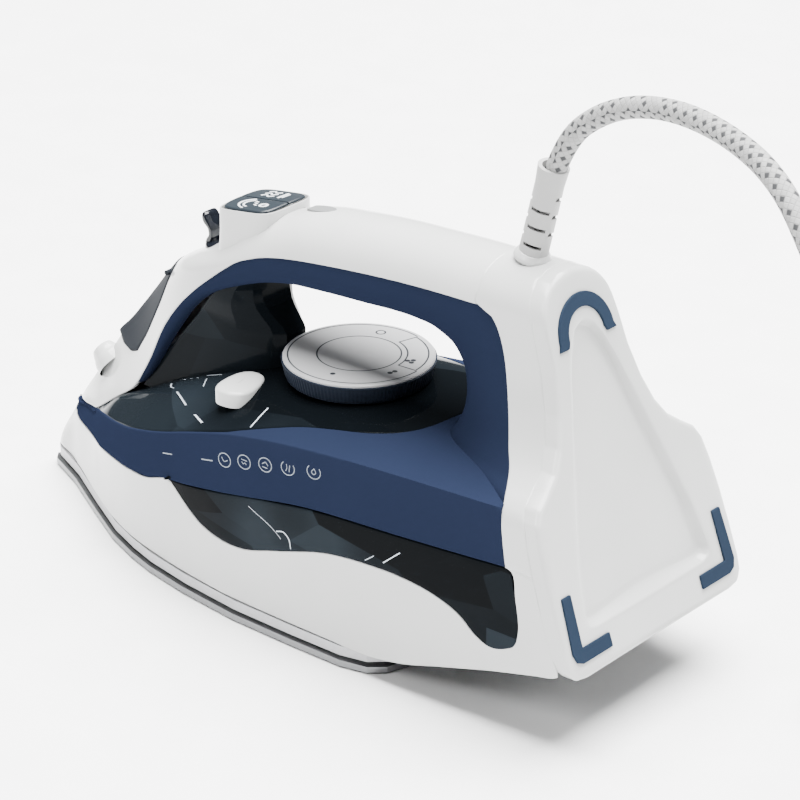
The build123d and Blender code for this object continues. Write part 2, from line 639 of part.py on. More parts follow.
with BuildPart() as valve_rod:
    with BuildSketch(Plane.XY.offset(20.6)):
        with Locations((LEVER_X, 0)):
            Circle(VALVE_RADIUS)
    extrude(amount=99.0)
with BuildPart() as steam_lever:
    with BuildSketch(Plane.XY.offset(117.4)):
        with Locations((LEVER_X, 0)):
            Circle(6.9)
    extrude(amount=4.2)
    with BuildSketch(Plane.XZ):
        with BuildLine():
            Polyline((51.0, 119.0), (59.5, 119.0), (59.0, 122.2), (66.8, 128.0), (66.2, 130.4),
                     (63.0, 130.6), (52.4, 124.6), close=True)
        make_face()
    extrude(amount=4.6, both=True)
    add(valve_rod.part, mode=Mode.SUBTRACT)

# ---------------------------------------------------------------- buttons and pumps

BUTTON_FLOOR_Z = 135.6
button_top = [(BLOCK_FRONT_X, 141.3), (BLOCK_REAR_X, 145.2)]


def block_outline(inset):
    """Plan outline of the button block drawn in by inset."""
    front, rear, half = BLOCK_FRONT_X - inset, BLOCK_REAR_X + inset, BLOCK_HALF - inset
    return [
        (front, 1.6 - half), (front, half - 1.6), (front - 1.6, half), (rear + 2.0, half - 1.4),
        (rear, half - 4.0), (rear, 4.0 - half), (rear + 2.0, 1.4 - half), (front - 1.6, -half),
    ]


under_top = side_prism([*button_top, (BLOCK_REAR_X, 100.0), (BLOCK_FRONT_X, 100.0)])
with BuildPart() as button_housing:
    add(plan_prism(block_outline(0.0), 116.0, 150.0))
    add(under_top, mode=Mode.INTERSECT)
    add(plan_prism(block_outline(1.2), 100.0, 160.0), mode=Mode.SUBTRACT)
    add(loop_outer + post_outer, mode=Mode.SUBTRACT)
largest(button_housing)

PUMP_FOOT_Z = 104.0
PUMP_HEAD_Z = 127.0
PUMP_RADIUS = 5.0
STEM_RADIUS = 2.4
pressed = {}
for kind, side in (("steam", 1), ("spray", -1)):
    half_plane = [(0.0, side * 0.25), (100.0, side * 0.25), (100.0, side * 40.0), (0.0, side * 40.0)]
    with BuildPart() as cap:
        add(plan_prism(block_outline(1.2 + GAP), BUTTON_FLOOR_Z, 150.0) & under_top)
        add(plan_prism(half_plane, 100.0, 200.0), mode=Mode.INTERSECT)
    with BuildPart() as stem:
        with BuildSketch(Plane.XY.offset(114.0)):
            with Locations((PUMP_X, side * PUMP_Y)):
                Circle(STEM_RADIUS)
        extrude(amount=BUTTON_FLOOR_Z - 114.0)
    with BuildPart() as pump:
        with BuildSketch(Plane.XY.offset(PUMP_FOOT_Z)):
            with Locations((PUMP_X, side * PUMP_Y)):
                Circle(PUMP_RADIUS)
        extrude(amount=PUMP_HEAD_Z - PUMP_FOOT_Z)
        with Locations((PUMP_X, side * PUMP_Y, PUMP_HEAD_Z)):
            Hole(radius=STEM_RADIUS + RUN_FIT, depth=18.0)
        with Locations((PUMP_X, side * PUMP_Y, PUMP_HEAD_Z)):
            Hole(radius=1.0, depth=40.0)
    with BuildPart() as pipe:
        with BuildSketch(Plane.XY.offset(33.0)):
            with Locations((PUMP_X, side * PUMP_Y)):
                Circle(1.9)
                Circle(1.0, mode=Mode.SUBTRACT)
        extrude(amount=PUMP_FOOT_Z - 33.0)
    with BuildPart() as spring:
        with BuildLine():
            Helix(pitch=1.9, height=6.8, radius=3.5, center=(PUMP_X, side * PUMP_Y, PUMP_HEAD_Z + 0.7))
        with BuildSketch(Plane(origin=(PUMP_X + 3.5, side * PUMP_Y, PUMP_HEAD_Z + 0.7), z_dir=(0, 1, 0))):
            Circle(0.4)
        sweep(is_frenet=True)
    pressed[kind + "_button"] = cap
    pressed[kind + "_piston"] = stem
    pressed[kind + "_pump"] = pump
    pressed[kind + "_pickup_pipe"] = pipe
    pressed[kind + "_spring"] = spring

# ---------------------------------------------------------------- self-clean button

CLEAN_TOP_Z = 84.0
CLEAN_FOOT_Z = 78.4
CLEAN_TRAVEL = 3.0
CLEAN_HALF_LENGTH = 14.6
CLEAN_HALF_WIDTH = 7.8


def leaf(grow, bottom, top):
    """Upright prism with the leaf outline of the self-clean button."""
    with BuildPart(mode=Mode.PRIVATE) as prism:
        with BuildSketch(clean_plane.offset(bottom)):
            with BuildLine():
                for side in (1, -1):
                    Spline(
                        (-CLEAN_HALF_LENGTH - grow, 0), (-6.5, side * (CLEAN_HALF_WIDTH * 0.86 + grow)),
                        (2.0, side * (CLEAN_HALF_WIDTH + grow)), (CLEAN_HALF_LENGTH + grow, 0),
                        tangents=((0.25, side), (0.35, -side)),
                    )
            make_face()
        extrude(amount=top - bottom)
    return prism.part


ROD_RADIUS = 2.0
with BuildPart() as self_clean_rod:
    with BuildSketch(clean_plane.offset(29.4)):
        Circle(ROD_RADIUS)
    extrude(amount=CLEAN_TOP_Z - 1.6 - 29.4)
with BuildPart() as self_clean_button:
    add(leaf(0.0, CLEAN_FOOT_Z, CLEAN_TOP_Z))
    with BuildSketch(clean_plane.offset(CLEAN_FOOT_Z)):
        Circle(4.2)
    extrude(amount=CLEAN_TOP_Z - 1.6 - CLEAN_FOOT_Z, mode=Mode.SUBTRACT)
    add(self_clean_rod.part, mode=Mode.SUBTRACT)
with BuildPart() as self_clean_spring:
    with BuildLine():
        Helix(pitch=1.9, height=6.0, radius=3.2, center=(CLEAN_X, CLEAN_Y, 75.6))
    with BuildSketch(Plane(origin=(CLEAN_X + 3.2, CLEAN_Y, 75.6), z_dir=(0, 1, 0))):
        Circle(0.35)
    sweep(is_frenet=True)

# ---------------------------------------------------------------- dial

RIB_COUNT = 48
with BuildPart() as dial_shaft:
    with BuildSketch(Plane.XY.offset(26.0)):
        with Locations((DIAL_X, 0)):
            Circle(SHAFT_RADIUS)
    extrude(amount=92.6 - 26.0)
with BuildPart() as dial_ring:
    with BuildSketch(Plane.XY.offset(87.2)):
        with Locations((DIAL_X, 0)):
            Circle(DIAL_RADIUS)
            with PolarLocations(DIAL_RADIUS + 0.3, RIB_COUNT):
                Circle(0.8, mode=Mode.SUBTRACT)
    extrude(amount=7.0)
    add(dial_shaft.part, mode=Mode.SUBTRACT)
with BuildPart() as dial_disc:
    with BuildSketch(Plane.XY.offset(94.2)):
        with Locations((DIAL_X, 0)):
            Circle(DIAL_RADIUS - 0.6)
    extrude(amount=DIAL_TOP_Z - 94.2)
    chamfer(dial_disc.faces().sort_by(Axis.Z)[-1].edges(), 0.5)

# ---------------------------------------------------------------- lamp and wiring

LAMP_X = 5.3
lamp_slot = plan_prism(
    [(LAMP_X + 6.8 * cos(pi * i / 12), 3.2 * sin(pi * i / 12)) for i in range(24)], 140.0, 160.0)
with BuildPart() as indicator_lens:
    add(lamp_slot & (loop_outer - handle_loop(3.2, HEEL_PLATE)))
largest(indicator_lens)
with BuildPart() as lamp_board:
    with Locations((LAMP_X - 6, 0, 139.6)):
        Box(22, 9, 1.4)
    with Locations((LAMP_X, 0, 141.6)):
        Cylinder(radius=1.5, height=2.6)
with BuildPart() as terminal_block:
    with Locations((-127.0, 0, 46.0)):
        Box(12, 26, 12)
    with Locations(*[(-127.0, y, 52.0) for y in (-8, 0, 8)]):
        Hole(radius=1.6, depth=7.0)
with BuildPart() as supply_leads:
    for y in (-5.0, 0.0, 5.0):
        with BuildLine():
            FilletPolyline((-106.2, y * 0.5, 119.0), (-117.5, y * 0.8, 96.0), (-127.0, y * 1.6, 72.0),
                           (-127.0, y * 1.6, 52.2), radius=8.0)
        with BuildSketch(Plane(origin=(-106.2, y * 0.5, 119.0), z_dir=(-11.3, y * 0.3, -23.0))):
            Circle(1.1)
        sweep()
with BuildPart() as cord_clamp:
    with Locations((-106.2, 0, 123.5)):
        Box(11, 20, 7)
    with Locations((-106.2, 0, 127.0)):
        Hole(radius=2.9, depth=7.0)

# ---------------------------------------------------------------- cord outlet

with BuildPart() as cord_collar:
    with BuildSketch(guard_plane.offset(-6.4)):
        Circle(8.2)
    extrude(amount=10.6)
    with BuildSketch(guard_plane.offset(4.2)):
        Circle(10.0)
    extrude(amount=1.4)
    with BuildSketch(guard_plane.offset(5.6)):
        Circle(10.0)
    with BuildSketch(guard_plane.offset(7.4)):
        Circle(8.0)
    loft()
    with BuildSketch(guard_plane.offset(-10)):
        Circle(6.1 + 0.1)
    extrude(amount=30, mode=Mode.SUBTRACT)

SLOT_COUNT = 6
with BuildPart() as cord_guard:
    with BuildSketch(guard_plane.offset(-9.6)):
        Circle(7.6)
    extrude(amount=2.8)
    with BuildSketch(guard_plane.offset(-6.8)):
        Circle(6.1)
    extrude(amount=16.0)
    with BuildSketch(guard_plane.offset(9.2)):
        Circle(6.1)
    with BuildSketch(guard_plane.offset(34.0)):
        Circle(5.9)
    loft()
    with BuildSketch(guard_plane.offset(34.0)):
        Circle(5.9)
    with BuildSketch(guard_plane.offset(GUARD_LENGTH)):
        Circle(6.7)
    loft()
    with BuildSketch(guard_plane.offset(-9.6)):
        Circle(CORD_BORE)
    extrude(amount=60.0, mode=Mode.SUBTRACT)
    for index in range(SLOT_COUNT):
        turn = 90.0 * (index % 2)
        slot_plane = guard_plane.offset(10.0 + 3.5 * index).rotated((0, 0, turn + 20.0))
        with BuildSketch(slot_plane):
            with Locations((10.0, 0), (-10.0, 0)):
                Rectangle(13.0, 7.6)
        extrude(amount=1.3, mode=Mode.SUBTRACT)

# ---------------------------------------------------------------- cord

COIL_X = -238.0
COIL_Y = -62.0
COIL_RADIUS = 40.0  # mean
COIL_BAND = 3 * CORD_DIAMETER + 1.6
COIL_HEIGHT = 2 * CORD_DIAMETER + 0.8


def at_guard(along):
    """Point on the guard's axis."""
    point = GUARD_BASE + guard_axis * along
    return (point.X, point.Y, point.Z)


CORD_ROUTE = [
    at_guard(23.0), at_guard(50.0), (-123.5, 1.8, 217.0), (-151.0, 7.5, 225.6), (-182.0, 18.0, 227.0),
    (-211.0, 31.0, 222.5), (-233.0, 43.0, 206.5), (-249.0, 47.0, 181.0), (-260.0, 40.0, 150.0),
    (-268.0, 22.0, 118.0), (-275.0, 7.0, 86.0), (-280.5, -9.0, 58.0), (-284.5, -25.0, 35.0),
    (-286.8, -39.5, 24.4), (-286.0, -52.0, 20.4),
]
TAIL_ROUTE = [
    (-264.4, -16.3, 4.4), (-281.0, -25.9, 4.8), (-297.0, -34.5, 9.4), (-307.0, -45.5, 16.2),
    (-310.0, -57.0, 18.8),
]


def cord_tube(route):
    """Path of straight runs and tangent arcs, and its printed radii."""
    points = [Vector(*p) for p in route]
    runs = [(b - a).length for a, b in zip(points, points[1:])]
    turns = [(b - a).get_angle(c - b) for a, b, c in zip(points, points[1:], points[2:])]
    radii = [0.45 * min(pair) / tan(radians(turn / 2)) for pair, turn in zip(zip(runs, runs[1:]), turns)]
    print("cord runs", [round(r, 1) for r in runs])
    print("cord turns", [round(t, 1) for t in turns])
    print("cord radii", [round(r, 1) for r in radii])
    with BuildPart() as tube:
        with BuildLine() as path:
            FilletPolyline(*route, radius=radii)
        with BuildSketch(Plane(origin=route[0], z_dir=points[1] - points[0])):
            Circle(CORD_DIAMETER / 2)
        sweep()
    length = path.wires()[0].length
    print("cord tube", round(length, 1), "mm, volume over section x length",
          round(tube.part.volume / (pi * CORD_DIAMETER**2 / 4 * length), 4))
    return tube


power_cord = cord_tube(CORD_ROUTE)
cord_tail = cord_tube(TAIL_ROUTE)
with BuildPart() as cord_coil:
    with BuildSketch(Plane.XY.offset(0.2)):
        with Locations((COIL_X, COIL_Y)):
            Circle(COIL_RADIUS + COIL_BAND / 2)
            Circle(COIL_RADIUS - COIL_BAND / 2, mode=Mode.SUBTRACT)
    extrude(amount=COIL_HEIGHT)
    add(cord_tail.part, mode=Mode.SUBTRACT)

PLUG_CONE = 16.0
PLUG_LENGTH = 38.0
PIN_SHANK = 2.4
PIN_PITCH = 19.0
PLUG_PLANE = Plane(origin=(-310.0, -58.0, 18.8), x_dir=(1, 0, 0), z_dir=(0, -1, 0))
with BuildPart() as plug_pins:
    for start, radius, length in ((PLUG_LENGTH - 8.0, 1.9, 8.0), (PLUG_LENGTH, PIN_SHANK, 19.0)):
        with BuildSketch(PLUG_PLANE.offset(start)):
            with Locations((-PIN_PITCH / 2, 0), (PIN_PITCH / 2, 0)):
                Circle(radius)
        extrude(amount=length)
    chamfer(plug_pins.faces().sort_by(Axis.Y)[:2].edges(), 0.8)
with BuildPart() as plug_body:
    with BuildSketch(PLUG_PLANE):
        Circle(6.0)
    with BuildSketch(PLUG_PLANE.offset(PLUG_CONE)):
        Circle(13.0)
    loft()
    with BuildSketch(PLUG_PLANE.offset(PLUG_CONE)):
        Circle(18.4)
    extrude(amount=PLUG_LENGTH - PLUG_CONE)
    fillet(plug_body.edges().filter_by(GeomType.CIRCLE).sort_by(SortBy.LENGTH)[-2:], 1.5)
    add(plug_pins.part, mode=Mode.SUBTRACT)

# ---------------------------------------------------------------- holes for the small pieces


def carve(piece, *cutters):
    """Cut other pieces, or the room that they need, out of a piece."""
    with BuildPart() as cut:
        add(piece.part)
        for cutter in cutters:
            add(cutter, mode=Mode.SUBTRACT)
    piece.part = Part([cut.part.solids().sort_by(SortBy.VOLUME)[-1]])


def upright_bar(x, y, radius, bottom, top):
    """Round upright bar."""
    with BuildPart(mode=Mode.PRIVATE) as bar:
        with BuildSketch(Plane.XY.offset(bottom)):
            with Locations((x, y)):
                Circle(radius)
        extrude(amount=top - bottom)
    return bar.part


pump_room = [upright_bar(PUMP_X, side * PUMP_Y, PUMP_RADIUS + 0.05, PUMP_FOOT_Z, 130.0) for side in (1, -1)]
nozzle_room = spray_nozzle.part + nozzle_tip.part
carve(handle_shell, nozzle_room, lid_hinge_pin.part, lid_seat,
      plan_prism(block_outline(1.2), BUTTON_FLOOR_Z - BUTTON_TRAVEL - 1.0, 150.0),
      cross_bar(LID_PIN, 3.3, LID_HALF + GAP), lamp_slot, cord_collar.part, cord_clamp.part)
carve(side_band, nozzle_room)
carve(handle_grip, filler_mouth, *pump_room)
carve(tank_cover, filler_mouth, *pump_room, leaf(GAP, CLEAN_FOOT_Z - CLEAN_TRAVEL - 0.6, 100.0))
with BuildPart() as boss:
    add(tank_cover.part)
    add(leaf(GAP + 1.8, 72.0, CLEAN_FOOT_Z + 0.8) - leaf(GAP, CLEAN_FOOT_Z - CLEAN_TRAVEL - 0.6, 100.0))
    add(upright_bar(CLEAN_X, CLEAN_Y, ROD_RADIUS + RUN_FIT, 60.0, 80.0), mode=Mode.SUBTRACT)
tank_cover.part = Part([boss.part.solids().sort_by(SortBy.VOLUME)[-1]])
carve(water_tank, upright_bar(CLEAN_X, CLEAN_Y, ROD_RADIUS + RUN_FIT, 20.0, 40.0))
carve(steam_chamber, valve_rod.part)

pieces = {
    "soleplate": soleplate, "steam_chamber": steam_chamber, "heating_element": heating_element,
    "chamber_cover": chamber_cover, "valve_gasket": valve_gasket, "heat_shield": heat_shield,
    "chamber_screws": chamber_screws, "thermostat": thermostat, "thermal_fuse": thermal_fuse,
    "base_skirt": base_skirt, "water_tank": water_tank, "tank_cover": tank_cover, "side_band": side_band,
    "handle_shell": handle_shell, "handle_grip": handle_grip, "rear_cover": rear_cover, **pads,
    "filler_lid": filler_lid, "lid_hinge_pin": lid_hinge_pin, "spray_nozzle": spray_nozzle,
    "nozzle_tip": nozzle_tip, "steam_lever": steam_lever, "valve_rod": valve_rod,
    "button_housing": button_housing, **pressed, "self_clean_button": self_clean_button,
    "self_clean_rod": self_clean_rod, "self_clean_spring": self_clean_spring, "dial_ring": dial_ring,
    "dial_disc": dial_disc, "dial_shaft": dial_shaft, "indicator_lens": indicator_lens,
    "lamp_board": lamp_board, "terminal_block": terminal_block, "supply_leads": supply_leads,
    "cord_clamp": cord_clamp, "cord_collar": cord_collar, "cord_guard": cord_guard,
    "power_cord": power_cord, "cord_coil": cord_coil, "cord_tail": cord_tail, "plug_body": plug_body,
    "plug_pins": plug_pins,
}
for name, piece in pieces.items():
    piece.part.label = name
    export_step(piece.part, "parts/" + name + ".step")
print(len(pieces), "pieces")
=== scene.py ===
"""Looks of a steam iron with its cord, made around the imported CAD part.

Lengths in the tables and shape functions are in millimetres, in the part's own frame:
+X to the nose, +Y to the side with the self-clean button, +Z up. `Maker.piece` turns them
into metres. Laid out as a Blender add-on: sizes and colours are properties, each piece
or group of pieces has its operator, and one panel lists them.
"""

from math import cos, pi, radians, sin, tau

import bmesh
import bpy
import numpy as np
from mathutils import Matrix, Vector


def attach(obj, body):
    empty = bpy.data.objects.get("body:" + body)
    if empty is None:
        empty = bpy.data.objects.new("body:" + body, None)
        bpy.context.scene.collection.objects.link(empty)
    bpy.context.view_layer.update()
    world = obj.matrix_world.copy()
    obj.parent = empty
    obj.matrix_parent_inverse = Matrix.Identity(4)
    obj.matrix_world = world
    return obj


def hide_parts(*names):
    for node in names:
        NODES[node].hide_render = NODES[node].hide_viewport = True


bl_info = {
    "name": "Steam iron",
    "version": (1, 0, 0),
    "blender": (4, 5, 0),
    "location": "View3D > Sidebar > Steam iron",
    "description": "Builds the shells, grip, buttons, dial and cord of a steam iron",
    "category": "Add Mesh",
}

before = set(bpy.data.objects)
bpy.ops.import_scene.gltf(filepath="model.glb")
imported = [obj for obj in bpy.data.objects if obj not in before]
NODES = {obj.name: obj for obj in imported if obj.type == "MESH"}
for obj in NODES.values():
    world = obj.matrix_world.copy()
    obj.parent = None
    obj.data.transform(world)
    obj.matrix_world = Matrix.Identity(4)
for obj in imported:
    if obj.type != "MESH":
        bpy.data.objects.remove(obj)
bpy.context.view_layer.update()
MM = 0.001
NEAR = (0.0, 1.0, 0.0)
UP = (0.0, 0.0, 1.0)

# ------------------------------------------------------------------ outlines

# Lower body from nose to heel: x, the half-width at its foot, then half-width and height
# of the belly, the crease under the deck and the edge of the raised roof.
STATIONS = np.array([
    (150, 1.6, 1.5, 11.5, 1.3, 13.5, 0.9, 15), (139, 5.8, 4.4, 17, 3, 24, 1.5, 28),
    (127.5, 11.6, 10, 24, 7.4, 35, 2.2, 44), (112, 20.8, 18, 27, 15, 40, 11.5, 42.5),
    (98.5, 28, 26.6, 30, 24, 45, 14, 50.5), (83.5, 35.2, 34.4, 33, 32, 49, 15.5, 58),
    (68.5, 40.8, 40.6, 36, 38.6, 53.6, 16.5, 65.5), (48.5, 45.6, 46.2, 38, 44, 60.3, 18, 73.5),
    (28.5, 49, 49.8, 40, 46.8, 67.5, 20, 80), (4.5, 51.6, 51.9, 40, 48.2, 74.4, 23, 85.4),
    (-28, 52.2, 52.2, 42, 48.5, 79.4, 25.5, 86.4), (-72.5, 52.2, 52, 45, 48.4, 83, 25.5, 86.6),
    (-118, 51.6, 51.2, 50, 47.6, 85.2, 25.5, 88), (-153, 50.8, 50.6, 50, 46.6, 86.2, 25.5, 89),
])[::-1]
# Front ridge of the nose and post (z, x).
RIDGE = np.array([
    (6, 150), (9, 149.6), (15, 147.4), (25, 141), (28, 139), (34.5, 135.3), (48, 125.5), (72, 108.5),
    (91, 92.5), (110.5, 75.5), (117.5, 64.9), (126, 47.2),
])
# White handle shell: edge point (x, z), its half-width, then the top line's point (x, z).
SHELL = np.array([
    (134.9, 34.7, 1.4, 135.3, 34.5), (127, 36.8, 7.4, 133.4, 37.3), (119, 38.8, 11.4, 131, 40.6),
    (113.5, 40.2, 13.8, 128.6, 43.8), (108, 44, 13.9, 125.5, 48), (102.5, 48, 13.9, 121.3, 54),
    (90, 57, 15.6, 113, 65.7), (83.5, 65, 17.2, 108.5, 72), (78.5, 72.5, 18.2, 103, 78.5),
    (68.5, 90.5, 19.2, 92, 91.6), (57.5, 104, 19.5, 80, 105.4), (50, 111, 19.5, 72.5, 112.5),
    (42.5, 117, 19.5, 63, 118), (36, 122, 19.5, 54, 122.5), (30.5, 126, 19.5, 44, 128.2),
    (24, 129, 19.5, 33, 135.9), (18.5, 131, 19.4, 24, 140.9), (11, 132.8, 19.3, 14, 145.2),
    (4.5, 134, 19.3, 5, 147.6), (-12, 136.2, 19.3, -12, 150), (-29.5, 138, 19.2, -29.5, 151.8),
    (-50, 139.6, 19.1, -50, 152.9), (-66.5, 140.3, 19, -66.5, 153.7), (-82, 140.6, 18.9, -82, 154.1),
])
# Navy liner: its outer edge (x, z, half-width), which follows the shell's edge and then
# LINER_REAR, and the matching points of its inner edge round the finger opening.
LINER_REAR = [
    (-89, 138.6, 19.2), (-93.5, 132, 19.8), (-97.5, 120, 21.3), (-101.5, 108, 25), (-106, 98, 30),
    (-112, 91, 37.6), (-116.3, 85.6, 45.8),
]
LINER_OUTER = np.array(
    [(87.8, 59.3, 15.9)] + [tuple(row[:3]) for row in SHELL[7:]] + LINER_REAR + [(-118, 80, 48)])
LINER_INNER = np.array([
    (84.5, 60.5, 14), (79.5, 66.5, 14), (75, 73, 14), (64.5, 89, 14), (53, 103, 14), (47, 107.5, 13),
    (41, 111, 12), (35, 113.5, 8), (28, 116, 0), (21, 118.5, 0), (13, 120.6, 0), (3, 122.4, 0),
    (-5, 123, 0), (-17, 123.8, 0), (-29, 124.4, 0), (-43, 125.3, 0), (-52, 125.2, 0), (-61, 123.6, 0),
    (-68, 120.4, 0), (-72.5, 115, 0), (-74.4, 107.5, 0), (-73.6, 99.5, 0), (-70.5, 92.5, 0),
    (-66, 86.5, 0), (-63, 82, 0), (-62, 77, 0),
])
# Section of the handle and of its flared rear foot, from the top down (half-width, z).
FOOT_SECTION = np.array([
    (0, 154.6), (4, 154.3), (7.5, 153.6), (11, 152.2), (14, 150.2), (16.6, 147.4), (18.3, 144),
    (19.2, 140), (19.6, 136), (20.4, 125), (23.4, 112), (27.5, 102), (32.5, 95), (39, 90), (44, 86.8),
    (46.6, 84), (47.8, 80), (49.2, 73), (50.4, 65),
])
# Rear edge of the navy zone, from the top down (z, x).
SHELL_REAR = np.array(
    [(154.6, -82), (142, -82), (140.6, -83.5)] + [(z, x) for x, z, _ in LINER_REAR]
    + [(80, -117.8), (65, -121.5)])[::-1]
# Lower edge and crease of the navy band (x, z).
BAND_BOTTOM = np.array([
    (139, 28), (107.5, 30.3), (88, 34.2), (70, 37.2), (55, 40), (47.5, 43), (28.5, 46.9), (1.5, 52.2),
    (-33.5, 58.4), (-75.5, 61.5), (-121.5, 65),
])[::-1]
BAND_TOP = np.array([
    (135.3, 34.5), (127, 36.6), (119, 38.6), (112, 40.2), (98.5, 45), (83.5, 49), (68.5, 53.6),
    (48.5, 60.3), (28.5, 67.5), (4.5, 74.4), (-28, 79.4), (-72.5, 83), (-118, 85.2),
])[::-1]
# Edge between the clear deck and the navy deck behind it (x, half-width).
DECK_EDGE = np.array([
    (113, 13.4), (98.5, 23.7), (83.5, 31.7), (68.5, 38.3), (48.5, 43.7), (28.5, 46.3), (12, 47),
    (3, 45.6), (-8, 43), (-20, 39.6), (-32, 36.6), (-44, 33.2), (-53, 28.2), (-58.5, 21), (-61.5, 11),
    (-62.5, 0),
])[::-1]
# Tank window: lower edge (x, z) from its front notch round its rear corner, and the
# matching points of the band's lower edge above it.
WINDOW = np.array([
    (40.5, 45, 42.5, 44.9), (36.5, 42.4, 38.5, 45.3), (32.5, 39.6, 35, 45.8), (23.5, 34, 27, 47.2),
    (10.5, 31, 14, 49.7), (1.5, 31, 4, 51.7), (-16.5, 36, -15, 55.2), (-42.5, 43.7, -42, 59.1),
    (-60.5, 45.7, -60.5, 60.4), (-76.5, 46, -77, 61.6), (-91.5, 44, -91.5, 62.7),
    (-102.5, 40, -101, 63.4), (-110, 34.4, -107, 63.9), (-116.5, 31.5, -111.5, 64.2),
    (-123.5, 32.6, -115, 64.5), (-127.2, 37, -118, 64.7), (-128, 44, -120, 64.9),
    (-126.6, 54, -121, 64.9), (-124, 64.4, -121.9, 65),
])
# White skirt: upper edge (x, z) and the matching lower edge, nose to heel.
SKIRT = np.array([
    (139, 27.9, 150, 8.6), (130, 28.4, 140, 8.6), (107.5, 30.2, 112, 8.6), (88, 34.1, 90, 8.6),
    (70, 37.1, 70, 8.6), (55, 39.9, 53, 8.6), (47.5, 42.9, 46, 8.6), (41, 44.9, 41, 8.6),
    (36.5, 42.4, 36, 8.6), (32.5, 39.6, 31, 8.6), (23.5, 34, 22, 8.6), (10.5, 31, 10, 8.6),
    (1.5, 31, 1.5, 8.6), (-16.5, 36, -16, 8.6), (-42.5, 43.7, -42, 8.6), (-60.5, 45.7, -60, 8.6),
    (-76.5, 46, -77, 11.4), (-91.5, 44, -93, 16.2), (-102.5, 40, -106, 20), (-110, 34.4, -116, 22.9),
    (-116.5, 32.5, -126, 25.5), (-123.5, 34.6, -136, 28), (-126.6, 37, -143.4, 29.8),
    (-127.3, 38.4, -144.9, 30.6), (-127.6, 40, -144.9, 32.4), (-128, 44, -142.6, 38.7),
    (-126.6, 54, -138.4, 50.7), (-124, 64.4, -134.6, 61.5), (-122, 65, -133.4, 65),
])
# The heel plane leans forward by HEEL_SLOPE. The cover is HEEL_PLATE deep at its edge, and
# the shell ends HEEL_SEAM in front of the plane.
HEEL_SLOPE = 0.35
HEEL_ORIGIN = np.array((-151.5, 0.0, 30.4))
HEEL_NORMAL = np.array((-1.0, 0.0, HEEL_SLOPE)) / np.hypot(1.0, HEEL_SLOPE)
HEEL_UP = np.array((HEEL_SLOPE, 0.0, 1.0)) / np.hypot(1.0, HEEL_SLOPE)
HEEL_PLATE = 6.0
HEEL_SEAM = 6.1
# Heel cover and the recess in it on the heel plane, right half from the bottom (across, up).
HEEL_EDGE = [
    (0, -1.4), (42, -1.4), (47.5, -0.4), (50.2, 3), (50.9, 8), (50.8, 20), (50.2, 35), (49, 46.5),
    (47.4, 55), (44.6, 59.8), (39, 63.6), (32.5, 68.6), (27.5, 75.9), (23.4, 86.5), (20.4, 100.2),
    (19.6, 111.9), (18.3, 120.4), (16.6, 124), (14, 126.9), (11, 129.1), (7.5, 130.5), (4, 131.3),
    (0, 131.6),
]
HEEL_RECESS = [
    (0, 14), (31, 14), (34.6, 15), (35.4, 18), (32.5, 34), (23.5, 63), (12, 98), (8.6, 106), (5, 111.5),
    (0, 113.6),
]
HEEL_CENTRE = (0.0, 50.0)
# Height of the skirt's foot line, and where the front post starts.
FOOT_Z = 6.0
POST_X = 112.0
# Middle and half size of the pair of button caps, and the side that each is on.
CAP_X, CAP_HALF = 33.6, 12.2
BUTTON_SIDES = {"steam": 1, "spray": -1}
# Foot of the cord guard and its axis, which leans back.
GUARD_LEAN = radians(13.6)
GUARD_BASE = np.array((-90.5, 0.0, 150.5))
GUARD_AXIS = np.array((-sin(GUARD_LEAN), 0.0, cos(GUARD_LEAN)))
DIAL_CENTRE = (-12.2, 0.0)

def at_guard(along):
    """Point on the cord guard's axis, as three numbers in millimetres."""
    return tuple(GUARD_BASE + GUARD_AXIS * along)


# Control points of the cord from its guard to the coil, and from the coil to the plug.
CORD_ROUTE = [
    at_guard(23), at_guard(50), (-123.5, 1.8, 217), (-151, 7.5, 225.6), (-182, 18, 227),
    (-211, 31, 222.5), (-233, 43, 206.5), (-249, 47, 181), (-260, 40, 150),
    (-268, 22, 118), (-275, 7, 86), (-280.5, -9, 58), (-284.5, -25, 35),
    (-286.8, -39.5, 24.4), (-286, -52, 20.4),
]
TAIL_ROUTE = [
    (-264.4, -16.3, 4.4), (-281, -25.9, 4.8), (-297, -34.5, 9.4), (-307, -45.5, 16.2), (-310, -57, 18.8),
]
COIL_CENTRE = (-238.0, -62.0)
COIL_RADIUS = 40.0

# ------------------------------------------------------------------ shape functions


def hermite(knots, table, slope, at):
    """Rows of a table between its knots, by cubic pieces with a slope at each knot."""
    i = np.clip(np.searchsorted(knots, at, side="right") - 1, 0, len(knots) - 2)
    h = (knots[i + 1] - knots[i])[:, None]
    t = (at - knots[i])[:, None] / h
    return (
        (1 + 2 * t) * (1 - t) ** 2 * table[i] + t * (1 - t) ** 2 * h * slope[i]
        + t * t * (3 - 2 * t) * table[i + 1] + t * t * (t - 1) * h * slope[i + 1]
    )


def curve(knots, values, at):
    """Values between knots by cubic pieces. The slope at a knot is the harmonic mean of
    the slopes on its two sides, or 0 where they differ in sign, so nothing overshoots."""
    knots, values = np.asarray(knots, float), np.asarray(values, float)
    table = values.reshape(len(knots), -1)
    rise = np.diff(table, axis=0) / np.diff(knots)[:, None]
    before, after = rise[:-1], rise[1:]
    same = before * after > 0
    inner = np.where(same, 2 * before * after / np.where(same, before + after, 1.0), 0.0)
    slope = np.concatenate([rise[:1], inner, rise[-1:]])
    at = np.clip(np.asarray(at, float), knots[0], knots[-1])
    return hermite(knots, table, slope, at.ravel()).reshape(at.shape + values.shape[1:])


def travelled(points):
    """Distance along a row of points, from its first."""
    return np.concatenate([[0.0], np.cumsum(np.linalg.norm(np.diff(points, axis=0), axis=1))])


